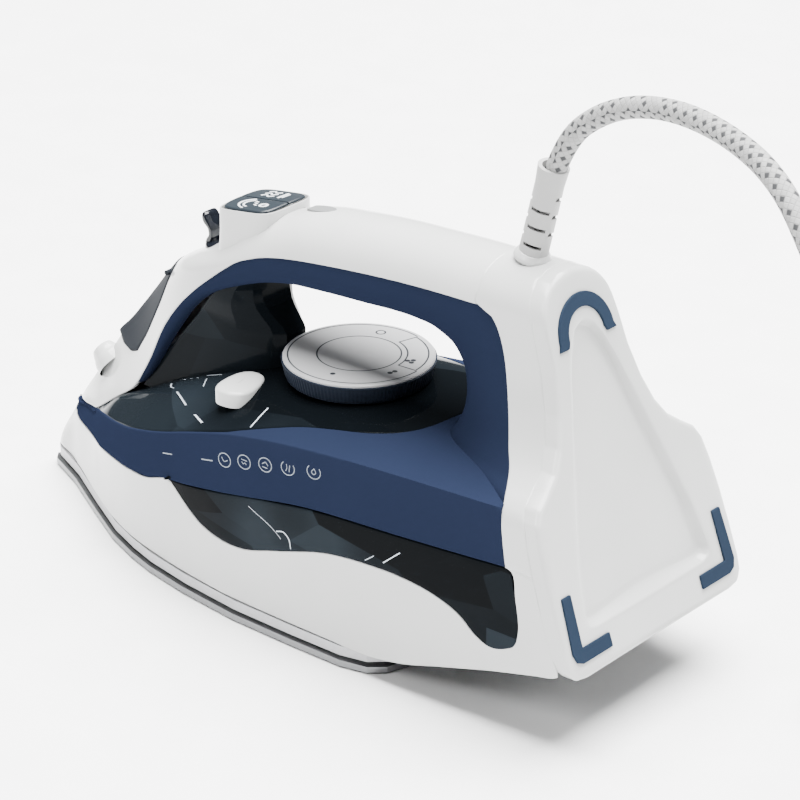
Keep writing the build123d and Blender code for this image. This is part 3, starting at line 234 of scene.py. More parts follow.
def flow(rows, step, dense_start=False):
    """Rows of key values resampled every `step` mm of mean travel, by Catmull-Rom pieces
    on that travel. With dense_start the first few samples crowd at the start."""
    rows = np.asarray(rows, float)
    travel = travelled(rows)
    gap = np.diff(travel)[:, None]
    rise = np.diff(rows, axis=0) / gap
    inner = (gap[1:] * rise[:-1] + gap[:-1] * rise[1:]) / (gap[1:] + gap[:-1])
    at = np.linspace(0, travel[-1], max(3, int(travel[-1] / step)))
    if dense_start:
        at = np.concatenate([[0, 0.15, 0.5, 1.0, 1.8, 3.0, 4.5, 6.5, 9.0], at[at > 11.0]])
    return hermite(travel, rows, np.concatenate([rise[:1], inner, rise[-1:]]), at)


def drawn(path, step, count=16):
    """Fine points of a drawn line: a flow through several points, or a straight run."""
    path = np.array(path, float)
    return flow(path, step) if len(path) > 2 else np.linspace(path[0], path[1], count)


def eased(share):
    """Share from 0 to 1 with a level start and end: 3 t^2 - 2 t^3."""
    return share * share * (3 - 2 * share)


def rounded_ring(power, count):
    """Cosines and sines round a circle, and the factor that takes that circle to the
    rounded rectangle |x|^power + |y|^power = 1."""
    angle = np.linspace(0, tau, count, endpoint=False)
    c, s = np.cos(angle), np.sin(angle)
    return c, s, (np.abs(c) ** power + np.abs(s) ** power) ** (-1 / power)


def across(width, count):
    """Shares of the way across a strip for each of its widths, with rows close to both
    edges at 0, 0.1, 0.3 and 0.6 mm so that an edge can be rounded."""
    near = np.array([0.0, 0.1, 0.3, 0.6])
    share = near[None, :] / np.maximum(width, 1.6)[:, None]
    inner = np.linspace(0, 1, count + 2)[1:-1][None, :]
    middle = share[:, -1:] + (1 - 2 * share[:, -1:]) * inner
    return np.concatenate([share, middle, 1 - share[:, ::-1]], axis=1)


def ridge_x(z):
    """x of the front ridge at height z."""
    return curve(*RIDGE.T, z)


def to_ridge(x, z, travel):
    """Moves the start of a strip onto the front ridge, less and less over the first 15 mm
    of travel, and keeps the rest behind the ridge."""
    pull = np.clip(1 - travel / 15.0, 0, 1)[:, None] ** 2
    return np.minimum(x + (ridge_x(z[:1]) - x[:1]) * pull, ridge_x(z))


def station(x):
    """Half-width at the foot, then half-width and height of belly, crease and roof edge."""
    return np.moveaxis(curve(STATIONS[:, 0], STATIONS[:, 1:], x), -1, 0)


def body_half(x, z):
    """Half-width of the lower body. From the bottom edge to the belly and from the belly
    to the crease it is a parabola with its upright at the belly, and within 5 mm of the
    ridge it closes as a quarter circle."""
    foot, belly, belly_z, crease, crease_z = station(x)[:5]
    low = np.clip((belly_z - z) / (belly_z - FOOT_Z), 0, 1)
    high = np.clip((z - belly_z) / (crease_z - belly_z), 0, 1.1)
    half = np.where(z < belly_z, belly + (foot - belly) * low**2, belly + (crease - belly) * high**2)
    near = np.clip((ridge_x(z) - x) / 5.0, 0, 1)
    return half * np.sqrt(near * (2 - near))


def deck_height(x, y):
    """Height of the deck: from the crease it rises to the roof edge by 1 - (1 - t)^1.5
    and stays there, with 0.6 mm of crown over the middle."""
    crease, crease_z, roof, roof_z = station(x)[3:]
    t = np.clip((crease - np.abs(y)) / (crease - roof), 0, 1)
    crown = 0.6 * np.clip(1 - (y / roof) ** 2, 0, 1)
    return crease_z + (roof_z - crease_z) * (1 - (1 - t) ** 1.5) + crown


def foot_half(x, z):
    """Half-width of the white shell behind the navy zone: the foot section by height,
    blended into the lower body under the shoulder."""
    half, height = FOOT_SECTION[::-1].T
    section = curve(height, half, z)
    share = eased(np.clip((z - 78.0) / 8.0, 0, 1))
    return section * share + body_half(x, z) * (1 - share)


def normals(points):
    """Unit normals of a grid, from the cross product of its two directions."""
    found = np.cross(np.gradient(points, axis=0), np.gradient(points, axis=1))
    return found / np.maximum(np.linalg.norm(found, axis=-1, keepdims=True), 1e-9)


def rolled(points, outward, radius=0.6, edges=(True, True)):
    """Grid with its first and last row across sunk to make a rounded edge: a point at
    distance d from the edge sinks by radius - sqrt(radius^2 - (radius - d)^2)."""
    run = np.linalg.norm(np.diff(points, axis=1), axis=-1)
    from_start = np.concatenate([np.zeros((len(run), 1)), np.cumsum(run, axis=1)], axis=1)
    from_end = from_start[:, -1:] - from_start
    sink = np.zeros(from_start.shape)
    for use, distance in zip(edges, (from_start, from_end)):
        if use:
            left = radius - np.clip(distance, 0, radius)
            sink = np.maximum(sink, radius - np.sqrt(np.maximum(radius**2 - left**2, 0)))
    sign = np.sign(np.sum(normals(points) * outward, axis=-1, keepdims=True))
    return points - normals(points) * sign * sink[..., None]


def mirrored(points):
    """The same grid on the other side of the iron."""
    return points * np.array((1.0, -1.0, 1.0))


def swept_rings(centre, axis, profile, count=96):
    """Grid of a turned shape: for each (radius, height) of the profile, a ring about the
    unit axis, as centre + height * axis + radius * (cos a * side + sin a * across)."""
    centre, axis, profile = (np.asarray(part, float) for part in (centre, axis, profile))
    side = np.cross(NEAR, axis)
    angle = np.linspace(0, tau, count, endpoint=False)
    ring = np.cos(angle)[:, None] * side + np.sin(angle)[:, None] * np.cross(axis, side)
    return centre + profile[:, None, 1:2] * axis + profile[:, None, 0:1] * ring[None]


# ------------------------------------------------------------------ mesh making


def faces_of(rows, columns, first, flip, closed):
    """Quads of a grid as an index array; `closed` joins the last column to the first."""
    index = first + np.arange(rows * columns).reshape(rows, columns)
    if closed:
        index = np.concatenate([index, index[:, :1]], axis=1)
    quads = np.stack([index[:-1, :-1], index[1:, :-1], index[1:, 1:], index[:-1, 1:]], axis=-1)
    return quads.reshape(-1, 4)[:, ::-1 if flip else 1]


def both(points, outward=NEAR):
    """A near-side grid and its mirror image, each with its outward direction, or with a
    grid of directions."""
    outward = np.asarray(outward, float)
    return [(points, outward), (mirrored(points), mirrored(outward))]


def ribbon(path, width, up):
    """Flat ribbon along a path: two rows half a width to each side, at right angles to
    the path and to the direction up."""
    along = np.gradient(path, axis=0)
    side = np.cross(along, up)
    side = side / np.maximum(np.linalg.norm(side, axis=-1, keepdims=True), 1e-9)
    return np.stack([path - side * width / 2, path, path + side * width / 2], axis=1)


# ------------------------------------------------------------------ materials


def maths(operation, turned=False):
    """Method that adds a Math node of that operation, with its operands turned round
    where it is the reflected form."""
    def add(self, *others):
        operands = (self, *others)[::-1 if turned else 1]
        return self.paint.node("ShaderNodeMath", {"operation": operation}, dict(enumerate(operands)))
    return add


class Value:
    """A shader socket that takes part in arithmetic: each operator adds a Math node."""

    def __init__(self, paint, socket):
        self.paint, self.socket = paint, socket

    __add__ = __radd__ = maths("ADD")
    __mul__ = __rmul__ = maths("MULTIPLY")
    __sub__, __rsub__ = maths("SUBTRACT"), maths("SUBTRACT", turned=True)
    __mod__, __abs__ = maths("FLOORED_MODULO"), maths("ABSOLUTE")
    __lt__, __gt__ = maths("LESS_THAN"), maths("GREATER_THAN")
    at_least, floor, root = maths("MAXIMUM"), maths("FLOOR"), maths("SQRT")

    def step(self, low, high):
        """0 below low, 1 above high, smooth between."""
        return self.paint.node("ShaderNodeMapRange", {"interpolation_type": "SMOOTHSTEP"}, {
            0: self, 1: low, 2: high, 3: 0.0, 4: 1.0})

    def line(self, place, half, edge):
        """1 within half of a place, 0 beyond edge."""
        return 1 - abs(self - place).step(half, edge)


class Paint:
    """Builds the nodes of one material."""

    def __init__(self, name):
        self.material = bpy.data.materials.new(name)
        self.material.use_nodes = True
        self.tree = self.material.node_tree
        self.shader = self.tree.nodes["Principled BSDF"]

    def node(self, kind, settings=None, sockets=None, out=0):
        """Adds a node: its settings first (`stops` are a ramp's), then its sockets."""
        node = self.tree.nodes.new(kind)
        for key, value in (settings or {}).items():
            if key == "stops":
                for element, (place, colour) in zip(node.color_ramp.elements, value):
                    element.position, element.color = place, colour
                for place, colour in value[2:]:
                    node.color_ramp.elements.new(place).color = colour
            else:
                setattr(node, key, value)
        for key, value in (sockets or {}).items():
            self.feed(node.inputs[key], value)
        return Value(self, node.outputs[out])

    def feed(self, socket, value):
        """Links a Value to a socket, or sets the socket to a number or colour."""
        if isinstance(value, Value):
            self.tree.links.new(value.socket, socket)
        else:
            socket.default_value = value

    def place(self, output="Object"):
        return self.node("ShaderNodeTexCoord", out=output)

    def axes(self, source=None):
        """x, y and z of the piece, in metres."""
        split = self.node("ShaderNodeSeparateXYZ", sockets={0: source or self.place()}).socket.node
        return tuple(Value(self, split.outputs[k]) for k in range(3))

    def noise(self, scale, detail=3.0, source=None):
        return self.node("ShaderNodeTexNoise", sockets={
            "Vector": source or self.place(), "Scale": scale, "Detail": detail, "Roughness": 0.55})

    def mix(self, share, first, second):
        return self.node("ShaderNodeMix", {"data_type": "RGBA"}, {0: share, 6: first, 7: second}, out=2)

    def bump(self, height, strength, distance):
        self.feed(self.shader.inputs["Normal"], self.node(
            "ShaderNodeBump", sockets={"Strength": strength, "Distance": distance, "Height": height}))

    def finish(self, **sockets):
        for key, value in sockets.items():
            self.feed(self.shader.inputs[key.replace("_", " ").title().replace("Ior", "IOR")], value)
        return self.material


def rgb(colour, gain=1.0):
    """Colour with an alpha of one, brightened or darkened."""
    return tuple(min(1.0, part * gain) for part in colour[:3]) + (1.0,)


def moulded(name, colour, roughness, gleam, grain):
    """Moulded plastic or rubber: a cloudy tone over about 30 mm, a fine mould grain in
    the bump, and roughness that varies with the clouds. gleam is the specular level."""
    paint = Paint(name)
    cloud = paint.noise(32.0, 2.0)
    tone = paint.mix(cloud, rgb(colour, 0.93), rgb(colour, 1.06))
    paint.bump(paint.noise(900.0, 2.0), 1.0, grain * MM)
    return paint.finish(
        base_color=tone, roughness=roughness * 0.85 + 0.3 * roughness * cloud, specular_ior_level=gleam)


def tank_plastic(colours, name, facet_scale, tint, darkest, fade=None):
    """Dark tinted tank: stretched cells give the slanted facets of the ribs inside, and
    the brightest of them are painted highlights. With fade=(rear, front) in millimetres the
    plastic is darkest behind and clears to the tint in front."""
    paint = Paint(name)
    stretched = paint.node("ShaderNodeMapping", {"vector_type": "POINT"}, {
        "Vector": paint.place(), "Rotation": (0.0, radians(38), 0.0), "Scale": (0.55, 0.5, 1.7)})
    cells = paint.node("ShaderNodeTexVoronoi", {"feature": "F1"}, {
        "Vector": stretched, "Scale": facet_scale, "Randomness": 0.9}, out="Color")
    facet = paint.node("ShaderNodeSeparateColor", sockets={0: cells})
    slow = paint.noise(18.0, 2.0)
    # depth is how bright a facet is; its brightest tones are painted highlights.
    depth = (facet * 0.7 + slow * 0.6).step(0.66, 1.0)
    x, _, z = paint.axes()
    if fade:
        clear = (x + 0.012 * slow).step(fade[0] * MM, fade[1] * MM)
        depth = depth * 0.35 + clear * (0.35 + 0.3 * facet)
    else:
        # Painted highlight: the facets are brightest amidships. The rear lower corner of the
        # window shows the pale wall behind it.
        depth = depth * (0.3 + 0.9 * x.line(-0.024, 0.014, 0.042))
        depth = depth.at_least((x < -0.1145) * (z < 0.0395) * 0.95)
    tone = paint.mix(depth, rgb(colours.tank, darkest), rgb(colours.tank, tint))
    return paint.finish(base_color=tone, roughness=0.05 + 0.05 * slow, specular_ior_level=0.015)


def spun_silver(colours):
    """Dial disc: fine rings about the dial's axis, printed rings, marks and dots."""
    paint = Paint("spun_silver")
    x, y, _ = paint.axes()
    dx, dy = x - DIAL_CENTRE[0] * MM, y - DIAL_CENTRE[1] * MM
    radius = (dx * dx + dy * dy).root()
    turn = paint.node("ShaderNodeMath", {"operation": "ARCTAN2"}, {0: dy, 1: dx})
    rings = paint.node("ShaderNodeTexNoise", {"noise_dimensions": "1D"}, {
        "W": radius, "Scale": 5200.0, "Detail": 2.0})
    cloud = paint.noise(30.0)
    thin, edge = 0.0002, 0.0004
    ink = radius.line(0.0155, 0.00018, edge).at_least(radius.line(0.0262, 0.00018, edge))
    # A zone is left out of the printed rings, with an outline round it.
    zone = turn.line(-2.45, 0.62, 0.63)
    near, far = 0.0178, 0.0255
    ink = ink * (1 - zone).at_least(radius < 0.017)
    outline = radius.line(near, thin, edge).at_least(radius.line(far, thin, edge)) * zone
    for end in (-3.07, -1.83):
        side = 1 - (abs(turn - end) * radius).step(thin, edge)
        outline = outline.at_least(side * (radius > near) * (radius < far))
    ink = ink.at_least(outline)

    def reach_from(angle, reach):
        """Distance from a spot at that angle, in degrees, and reach on the disc."""
        spot_x, spot_y = dx - reach * cos(radians(angle)), dy - reach * sin(radians(angle))
        return (spot_x * spot_x + spot_y * spot_y).root()

    for angle, reach in ((103, 20.2), (164, 20.6), (170, 20.6), (197, 20.8), (203, 20.8), (200, 18.9)):
        ink = ink.at_least(1 - reach_from(angle, reach * MM).step(0.00095, 0.0011))
    ink = ink.at_least(reach_from(-72, 0.0205).line(0.0017, 0.00025, edge))
    tone = paint.mix(rings * 0.6 + cloud * 0.4, rgb(colours.silver, 0.86), rgb(colours.silver, 1.12))
    tone = paint.mix(ink, tone, (0.008, 0.01, 0.014, 1.0))
    paint.bump(rings, 0.35, 0.02 * MM)
    return paint.finish(
        base_color=tone, roughness=0.3 + 0.14 * rings, metallic=0.1 - 0.1 * ink,
        specular_ior_level=0.2)


def brushed_sole():
    """Soleplate: polished metal with long fine scratches from nose to heel."""
    paint = Paint("polished_sole")
    x, y, z = paint.axes()
    lengthwise = paint.node("ShaderNodeCombineXYZ", sockets={0: x * 0.04, 1: y, 2: z})
    scratch = paint.noise(2600.0, 3.0, source=lengthwise)
    cloud = paint.noise(22.0)
    tone = paint.mix(scratch * 0.5 + cloud * 0.5, (0.15, 0.153, 0.157, 1.0), (0.23, 0.234, 0.24, 1.0))
    paint.bump(scratch, 0.3, 0.02 * MM)
    return paint.finish(base_color=tone, roughness=0.24 + 0.14 * scratch, metallic=0.85)


def cast_metal(name, low, high, scale):
    """Plain metal, a fine grain between a low and a high tone."""
    paint = Paint(name)
    grain = paint.noise(scale, 4.0)
    paint.bump(grain, 0.5, 0.06 * MM)
    tone = paint.mix(grain, (*low, 1.0), (*high, 1.0))
    return paint.finish(base_color=tone, roughness=0.36 + 0.2 * grain, metallic=0.8)


def braided_jacket(colours):
    """Woven jacket: strands cross at 45 degrees in the piece's own UV map, which is
    measured in strands, and nearly one crossing in four is a grey fleck."""
    paint = Paint("braided_jacket")
    along, around, _ = paint.axes(paint.place("UV"))
    first, second = along + around, along - around
    over = abs(first % 1.0 - 0.5) * 2.0
    under = abs(second % 1.0 - 0.5) * 2.0
    cell = paint.node("ShaderNodeCombineXYZ", sockets={0: first.floor(), 1: second.floor(), 2: 0.0})
    pick = paint.node("ShaderNodeTexWhiteNoise", {"noise_dimensions": "3D"}, {"Vector": cell})
    row = (first.floor() % 2.0 < 0.5) * (second.floor() % 2.0 < 0.5)
    fleck = row * (pick > 0.15)
    edge = over.at_least(under).step(0.72, 1.0)
    pale = paint.mix(pick, rgb(colours.braid, 0.9), rgb(colours.braid, 1.08))
    tone = paint.mix(fleck * (1 - edge * 0.4), pale, rgb(colours.fleck))
    # Painted shade: the braid is darkened where the strands meet.
    tone = paint.mix(edge * 0.35, tone, rgb(colours.braid, 0.45))
    fibre = paint.noise(40.0, 2.0, source=paint.place("UV"))
    paint.bump((1 - edge) + 0.2 * fibre, 0.6, 0.25 * MM)
    return paint.finish(base_color=tone, roughness=0.82 + 0.1 * fibre)


# ------------------------------------------------------------------ properties


def tint(name, description, default):
    """Colour property."""
    return bpy.props.FloatVectorProperty(
        name=name, description=description, subtype="COLOR", size=3, min=0, max=1, default=default)


class IronColours(bpy.types.PropertyGroup):
    """Colours of the finishes."""

    white: tint("Shell white", "Gloss white of skirt, shell and heel", (0.45, 0.455, 0.45))
    navy: tint("Navy", "Band and grip liner", (0.0096, 0.0134, 0.0278))
    rubber: tint("Pad rubber", "Heel pads", (0.013, 0.021, 0.036))
    tank: tint("Tank tint", "Clear tank and its cover", (0.012, 0.0165, 0.021))
    slate: tint("Slate", "Button caps", (0.0105, 0.0150, 0.0195))
    silver: tint("Dial silver", "Disc on the dial", (0.30, 0.302, 0.306))
    braid: tint("Braid", "Cord jacket", (0.27, 0.27, 0.267))
    fleck: tint("Fleck", "Grey flecks in the cord jacket", (0.025, 0.026, 0.028))


def length(name, description, default, low, high):
    """Length property, in metres."""
    return bpy.props.FloatProperty(
        name=name, description=description, default=default, min=low, max=high, unit="LENGTH")


class IronSizes(bpy.types.PropertyGroup):
    """Sizes of the moulding details, the cord and the camera's lens."""

    wall: length("Wall", "Thickness of the moulded shells", 0.0018, 0.0005, 0.003)
    seam: length("Seam radius", "Rounding where two mouldings meet", 0.0006, 0.0002, 0.0015)
    cord_diameter: length("Cord diameter", "Over the braid", 0.0076, 0.004, 0.01)
    coil_layers: bpy.props.IntProperty(
        name="Coil layers", description="Layers of the put-away coil", default=2, min=1, max=3)
    coil_turns: bpy.props.IntProperty(
        name="Turns in a layer", description="Turns side by side in each layer", default=3, min=1, max=5)
    camera_lens: bpy.props.FloatProperty(
        name="Camera lens", description="Focal length on a 36 mm sensor, in millimetres", default=144.0,
        min=20, max=400)


# Moulded finishes: the material, its colour or the property that holds it, roughness,
# gleam and grain.
MOULDED = {
    "white": ("gloss_white", "white", 0.16, 0.4, 0.002),
    "navy": ("gloss_navy", "navy", 0.12, 0.0, 0.001),
    "slate": ("slate", "slate", 0.36, 0.3, 0.008),
    "ring": ("dark_slate", (0.010, 0.0132, 0.0205), 0.5, 0.03, 0.008),
    "black": ("gloss_black", (0.004, 0.005, 0.0075), 0.1, 0.4, 0.001),
    "smoke": ("smoke_grey", (0.0135, 0.0155, 0.019), 0.5, 0.01, 0.004),
    "pad": ("pad_rubber", "rubber", 0.62, 0.02, 0.03),
    "sleeve": ("sleeve_white", (0.3, 0.3, 0.297), 0.5, 0.3, 0.02),
    "lens": ("grey_lens", (0.17, 0.175, 0.175), 0.2, 0.5, 0.003),
    "silicone": ("red_silicone", (0.5, 0.09, 0.05), 0.6, 0.5, 0.02),
    # Pale strips for the painted glints on the clear deck and window.
    "glint": ("clear_rib", (0.45, 0.50, 0.55), 0.25, 0.5, 0.001),
    "print": ("pale_print", (0.16, 0.18, 0.21), 0.5, 0.2, 0.001),
    "icon": ("white_print", (0.5, 0.52, 0.54), 0.5, 0.2, 0.001),
    "paper": ("floor_paper", (0.82, 0.82, 0.82), 0.9, 0.1, 0.0),
}
# Tank finishes: the material, the scale of its facets, tint, darkest tone and fade.
TANKS = {
    "deck": ("tinted_deck", 26.0, 0.9, 0.16, (22.0, 56.0)),
    "window": ("tinted_window", 34.0, 0.9, 0.12),
    "neck": ("tinted_neck", 20.0, 1.1, 0.3),
}
METALS = {
    "casting": ("cast_aluminium", (0.28, 0.28, 0.29), (0.42, 0.42, 0.43), 700.0),
    "steel": ("plain_steel", (0.4, 0.4, 0.41), (0.6, 0.6, 0.6), 1500.0),
    "pins": ("nickelled_brass", (0.62, 0.58, 0.48), (0.78, 0.74, 0.62), 900.0),
}


class Maker:
    """Shared by the operators: the properties, the finishes and the making of a piece."""

    bl_options = {"REGISTER", "UNDO"}
    finishes = {}

    @property
    def sizes(self):
        return bpy.context.scene.iron_sizes

    @property
    def wall(self):
        return self.sizes.wall / MM

    @property
    def seam(self):
        return self.sizes.seam / MM

    def finish(self, name):
        """The finish of that name, made the first time that it is asked for."""
        if name not in self.finishes:
            self.finishes[name] = self.new_finish(name, bpy.context.scene.iron_colours)
        return self.finishes[name]

    def new_finish(self, name, colours):
        if name in MOULDED:
            label, colour, *rest = MOULDED[name]
            return moulded(label, getattr(colours, colour) if isinstance(colour, str) else colour, *rest)
        if name in TANKS:
            return tank_plastic(colours, *TANKS[name])
        if name in METALS:
            return cast_metal(*METALS[name])
        if name == "sole":
            return brushed_sole()
        return {"silver": spun_silver, "braid": braided_jacket}[name](colours)

    def piece(self, name, grids, finish, body="iron_body", wall=0.0, closed=False, smooth=35.0, replaces=()):
        """One mesh object from several (grid, outward) pairs, with its finish, wall,
        shading, body and CAD nodes. A grid is turned over where its normals run
        against outward, which is a direction or a grid of directions."""
        vertices, faces, count = [], [], 0
        for points, outward in grids:
            rows, columns = points.shape[:2]
            agree = np.sum(normals(points) * outward, axis=-1)[1:-1, 1:-1].sum()
            vertices.append(points.reshape(-1, 3))
            # faces_of winds with normals(), so a grid that runs against outward is flipped.
            faces.append(faces_of(rows, columns, count, agree < 0, closed))
            count += rows * columns
        mesh = bpy.data.meshes.new(name)
        mesh.from_pydata((np.concatenate(vertices) * MM).tolist(), [], np.concatenate(faces).tolist())
        made = bmesh.new()
        made.from_mesh(mesh)
        bmesh.ops.remove_doubles(made, verts=made.verts, dist=0.00002)
        bmesh.ops.dissolve_degenerate(made, edges=made.edges, dist=0.000002)
        made.to_mesh(mesh)
        made.free()
        piece = self.linked(name, mesh, body, replaces)
        mesh.materials.append(self.finish(finish))
        mesh.polygons.foreach_set("use_smooth", np.ones(len(mesh.polygons), bool))
        mesh.set_sharp_from_angle(angle=radians(smooth))
        if wall:
            solid = piece.modifiers.new("wall", "SOLIDIFY")
            solid.thickness, solid.offset, solid.use_rim = wall * MM, -1.0, True
        return piece

    @staticmethod
    def linked(name, mesh, body, replaces):
        """New object of a mesh, riding on a body and standing for some CAD nodes."""
        piece = bpy.data.objects.new(name, mesh)
        bpy.context.scene.collection.objects.link(piece)
        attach(piece, body)
        if replaces:
            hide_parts(*replaces)
        return piece

    def dress(self, piece, finish, radius=0.0):
        """Gives a CAD node or a copy of one its finish, and rounds its sharp edges."""
        piece.data.materials.clear()
        piece.data.materials.append(self.finish(finish))
        if radius:
            piece.modifiers.new("weld", "WELD").merge_threshold = 0.00001
            bevel = piece.modifiers.new("edges", "BEVEL")
            bevel.width, bevel.segments = radius * MM, 3
            bevel.limit_method, bevel.angle_limit = "ANGLE", radians(38.0)
            bevel.use_clamp_overlap = True


# ------------------------------------------------------------------ operators


def block_top(x):
    """Height of the button block's sloping top, 141.3 mm at its front edge."""
    return 141.3 + (47.2 - x) * (3.9 / 27.2)


def cap_top(x, y):
    """Height of the button caps: 0.55 mm over the block, crowned by 0.5 mm across."""
    return block_top(x) + 0.55 + 0.5 * (1 - (y / 13.0) ** 2)


class IRON_OT_camera(Maker, bpy.types.Operator):
    """Camera behind, above and to the left of the iron"""

    bl_idname = "iron.camera"
    bl_label = "Camera"

    def execute(self, context):
        data = bpy.data.cameras.new("camera")
        data.lens, data.sensor_width = self.sizes.camera_lens, 36.0
        data.clip_start, data.clip_end = 0.05, 20.0
        camera = bpy.data.objects.new("camera", data)
        context.scene.collection.objects.link(camera)
        right, up = Vector((-0.760620, -0.649197, 0.0)), Vector((0.275109, -0.322380, 0.905752))
        back = right.cross(up)
        turn = Matrix((right, up, back)).transposed().to_4x4()
        camera.matrix_world = Matrix.Translation((-0.71671, 0.80242, 0.57610)) @ turn
        context.scene.camera = camera
        return {"FINISHED"}


def coil_points(layers, turns, diameter):
    """Control points of the coil: 14 a turn, counter-clockwise from above, from the
    outer turn of the top layer inwards and back out on the layer below, where it ends
    short of a whole turn. Radius and height change smoothly over the last third of
    each turn."""
    radii = [COIL_RADIUS + diameter * (turns - 1) / 2 - diameter * k for k in range(turns)]
    path = []
    for layer in range(layers):
        height = diameter * (layers - layer) - diameter / 2 + 0.3
        path += [(radius, height) for radius in (radii if layer % 2 == 0 else radii[::-1])]
    path.append((radii[0] + diameter, path[-1][1]))
    points = []
    # The control points lie a little outside the turn that their spline makes.
    count, level, outside = 14, 0.62, 1.025
    for (radius, height), (next_radius, next_height) in zip(path, path[1:]):
        for k in range(count):
            share = eased(max(0.0, (k / count - level) / (1 - level)))
            angle = radians(172.0) + tau * k / count
            r = outside * (radius + (next_radius - radius) * share)
            z = height + (next_height - height) * share
            points.append((COIL_CENTRE[0] + r * cos(angle), COIL_CENTRE[1] + r * sin(angle), z))
    return points[:-3]


class IRON_OT_cord(Maker, bpy.types.Operator):
    """Braided cord from the guard, its put-away coil and its plug"""

    bl_idname = "iron.cord"
    bl_label = "Cord"

    def execute(self, context):
        diameter = self.sizes.cord_diameter / MM
        coil = coil_points(self.sizes.coil_layers, self.sizes.coil_turns, diameter)
        points = CORD_ROUTE + coil[1:] + TAIL_ROUTE
        line = bpy.data.curves.new("cord_line", "CURVE")
        line.dimensions, line.resolution_u = "3D", 8
        spline = line.splines.new("NURBS")
        spline.points.add(len(points) - 1)
        for point, place in zip(spline.points, points):
            point.co = (*(np.array(place) * MM), 1.0)
        spline.order_u, spline.use_endpoint_u = 3, True
        guide = bpy.data.objects.new("cord_line", line)
        read = bpy.data.meshes.new_from_object(guide)
        path = np.empty(len(read.vertices) * 3)
        read.vertices.foreach_get("co", path)
        path = path.reshape(-1, 3) / MM
        bpy.data.objects.remove(guide)
        bpy.data.meshes.remove(read)
        travel = travelled(path)
        keep = np.concatenate([[True], np.diff(travel) > 1e-6])
        path, travel = path[keep], travel[keep]
        at = np.linspace(0, travel[-1], int(travel[-1] / 1.6))
        path = np.stack([np.interp(at, travel, path[:, k]) for k in range(3)], axis=1)
        piece = self.tube(path, at, diameter)
        return {"FINISHED"}

    def tube(self, path, travel, diameter):
        """Tube of 20 sides along the path. Its sides keep their turn by carrying one
        reference direction along; u counts strands along it and v strands around."""
        tangent = np.gradient(path, axis=0)
        tangent /= np.linalg.norm(tangent, axis=1, keepdims=True)
        side = np.cross(tangent, (0.0, 0.0, 1.0))
        weak = np.linalg.norm(side, axis=1) < 0.25
        side[weak] = np.cross(tangent[weak], (1.0, 0.0, 0.0))
        carried = [side[0] / np.linalg.norm(side[0])]
        for direction in tangent[1:]:
            step = carried[-1] - direction * (carried[-1] @ direction)
            carried.append(step / np.linalg.norm(step))
        side = np.array(carried)
        other = np.cross(tangent, side)
        sides = 20
        angle = np.linspace(0, tau, sides, endpoint=False)
        ring = np.cos(angle)[None, :, None] * side[:, None] + np.sin(angle)[None, :, None] * other[:, None]
        points = path[:, None] + ring * diameter / 2
        piece = self.piece("braided_cord", [(points, ring)], "braid", closed=True, smooth=80,
                           replaces=("power_cord", "cord_coil", "cord_tail"))
        mesh = piece.data
        uv = mesh.uv_layers.new(name="strands")
        corner = np.empty(len(mesh.loops), int)
        mesh.loops.foreach_get("vertex_index", corner)
        strands = 9.0
        row, column = corner // sides, corner % sides
        # A face that closes the ring reads its last column as `sides`, not 0.
        wrap = (column.reshape(-1, 4).max(axis=1) - column.reshape(-1, 4).min(axis=1)) > 1
        around = column.reshape(-1, 4).astype(float)
        around[wrap] = np.where(around[wrap] == 0, sides, around[wrap])
        pitch = pi * diameter / strands
        coordinates = np.stack([travel[row] / pitch, around.ravel() / sides * strands], axis=1)
        uv.data.foreach_set("uv", coordinates.ravel())
        return piece


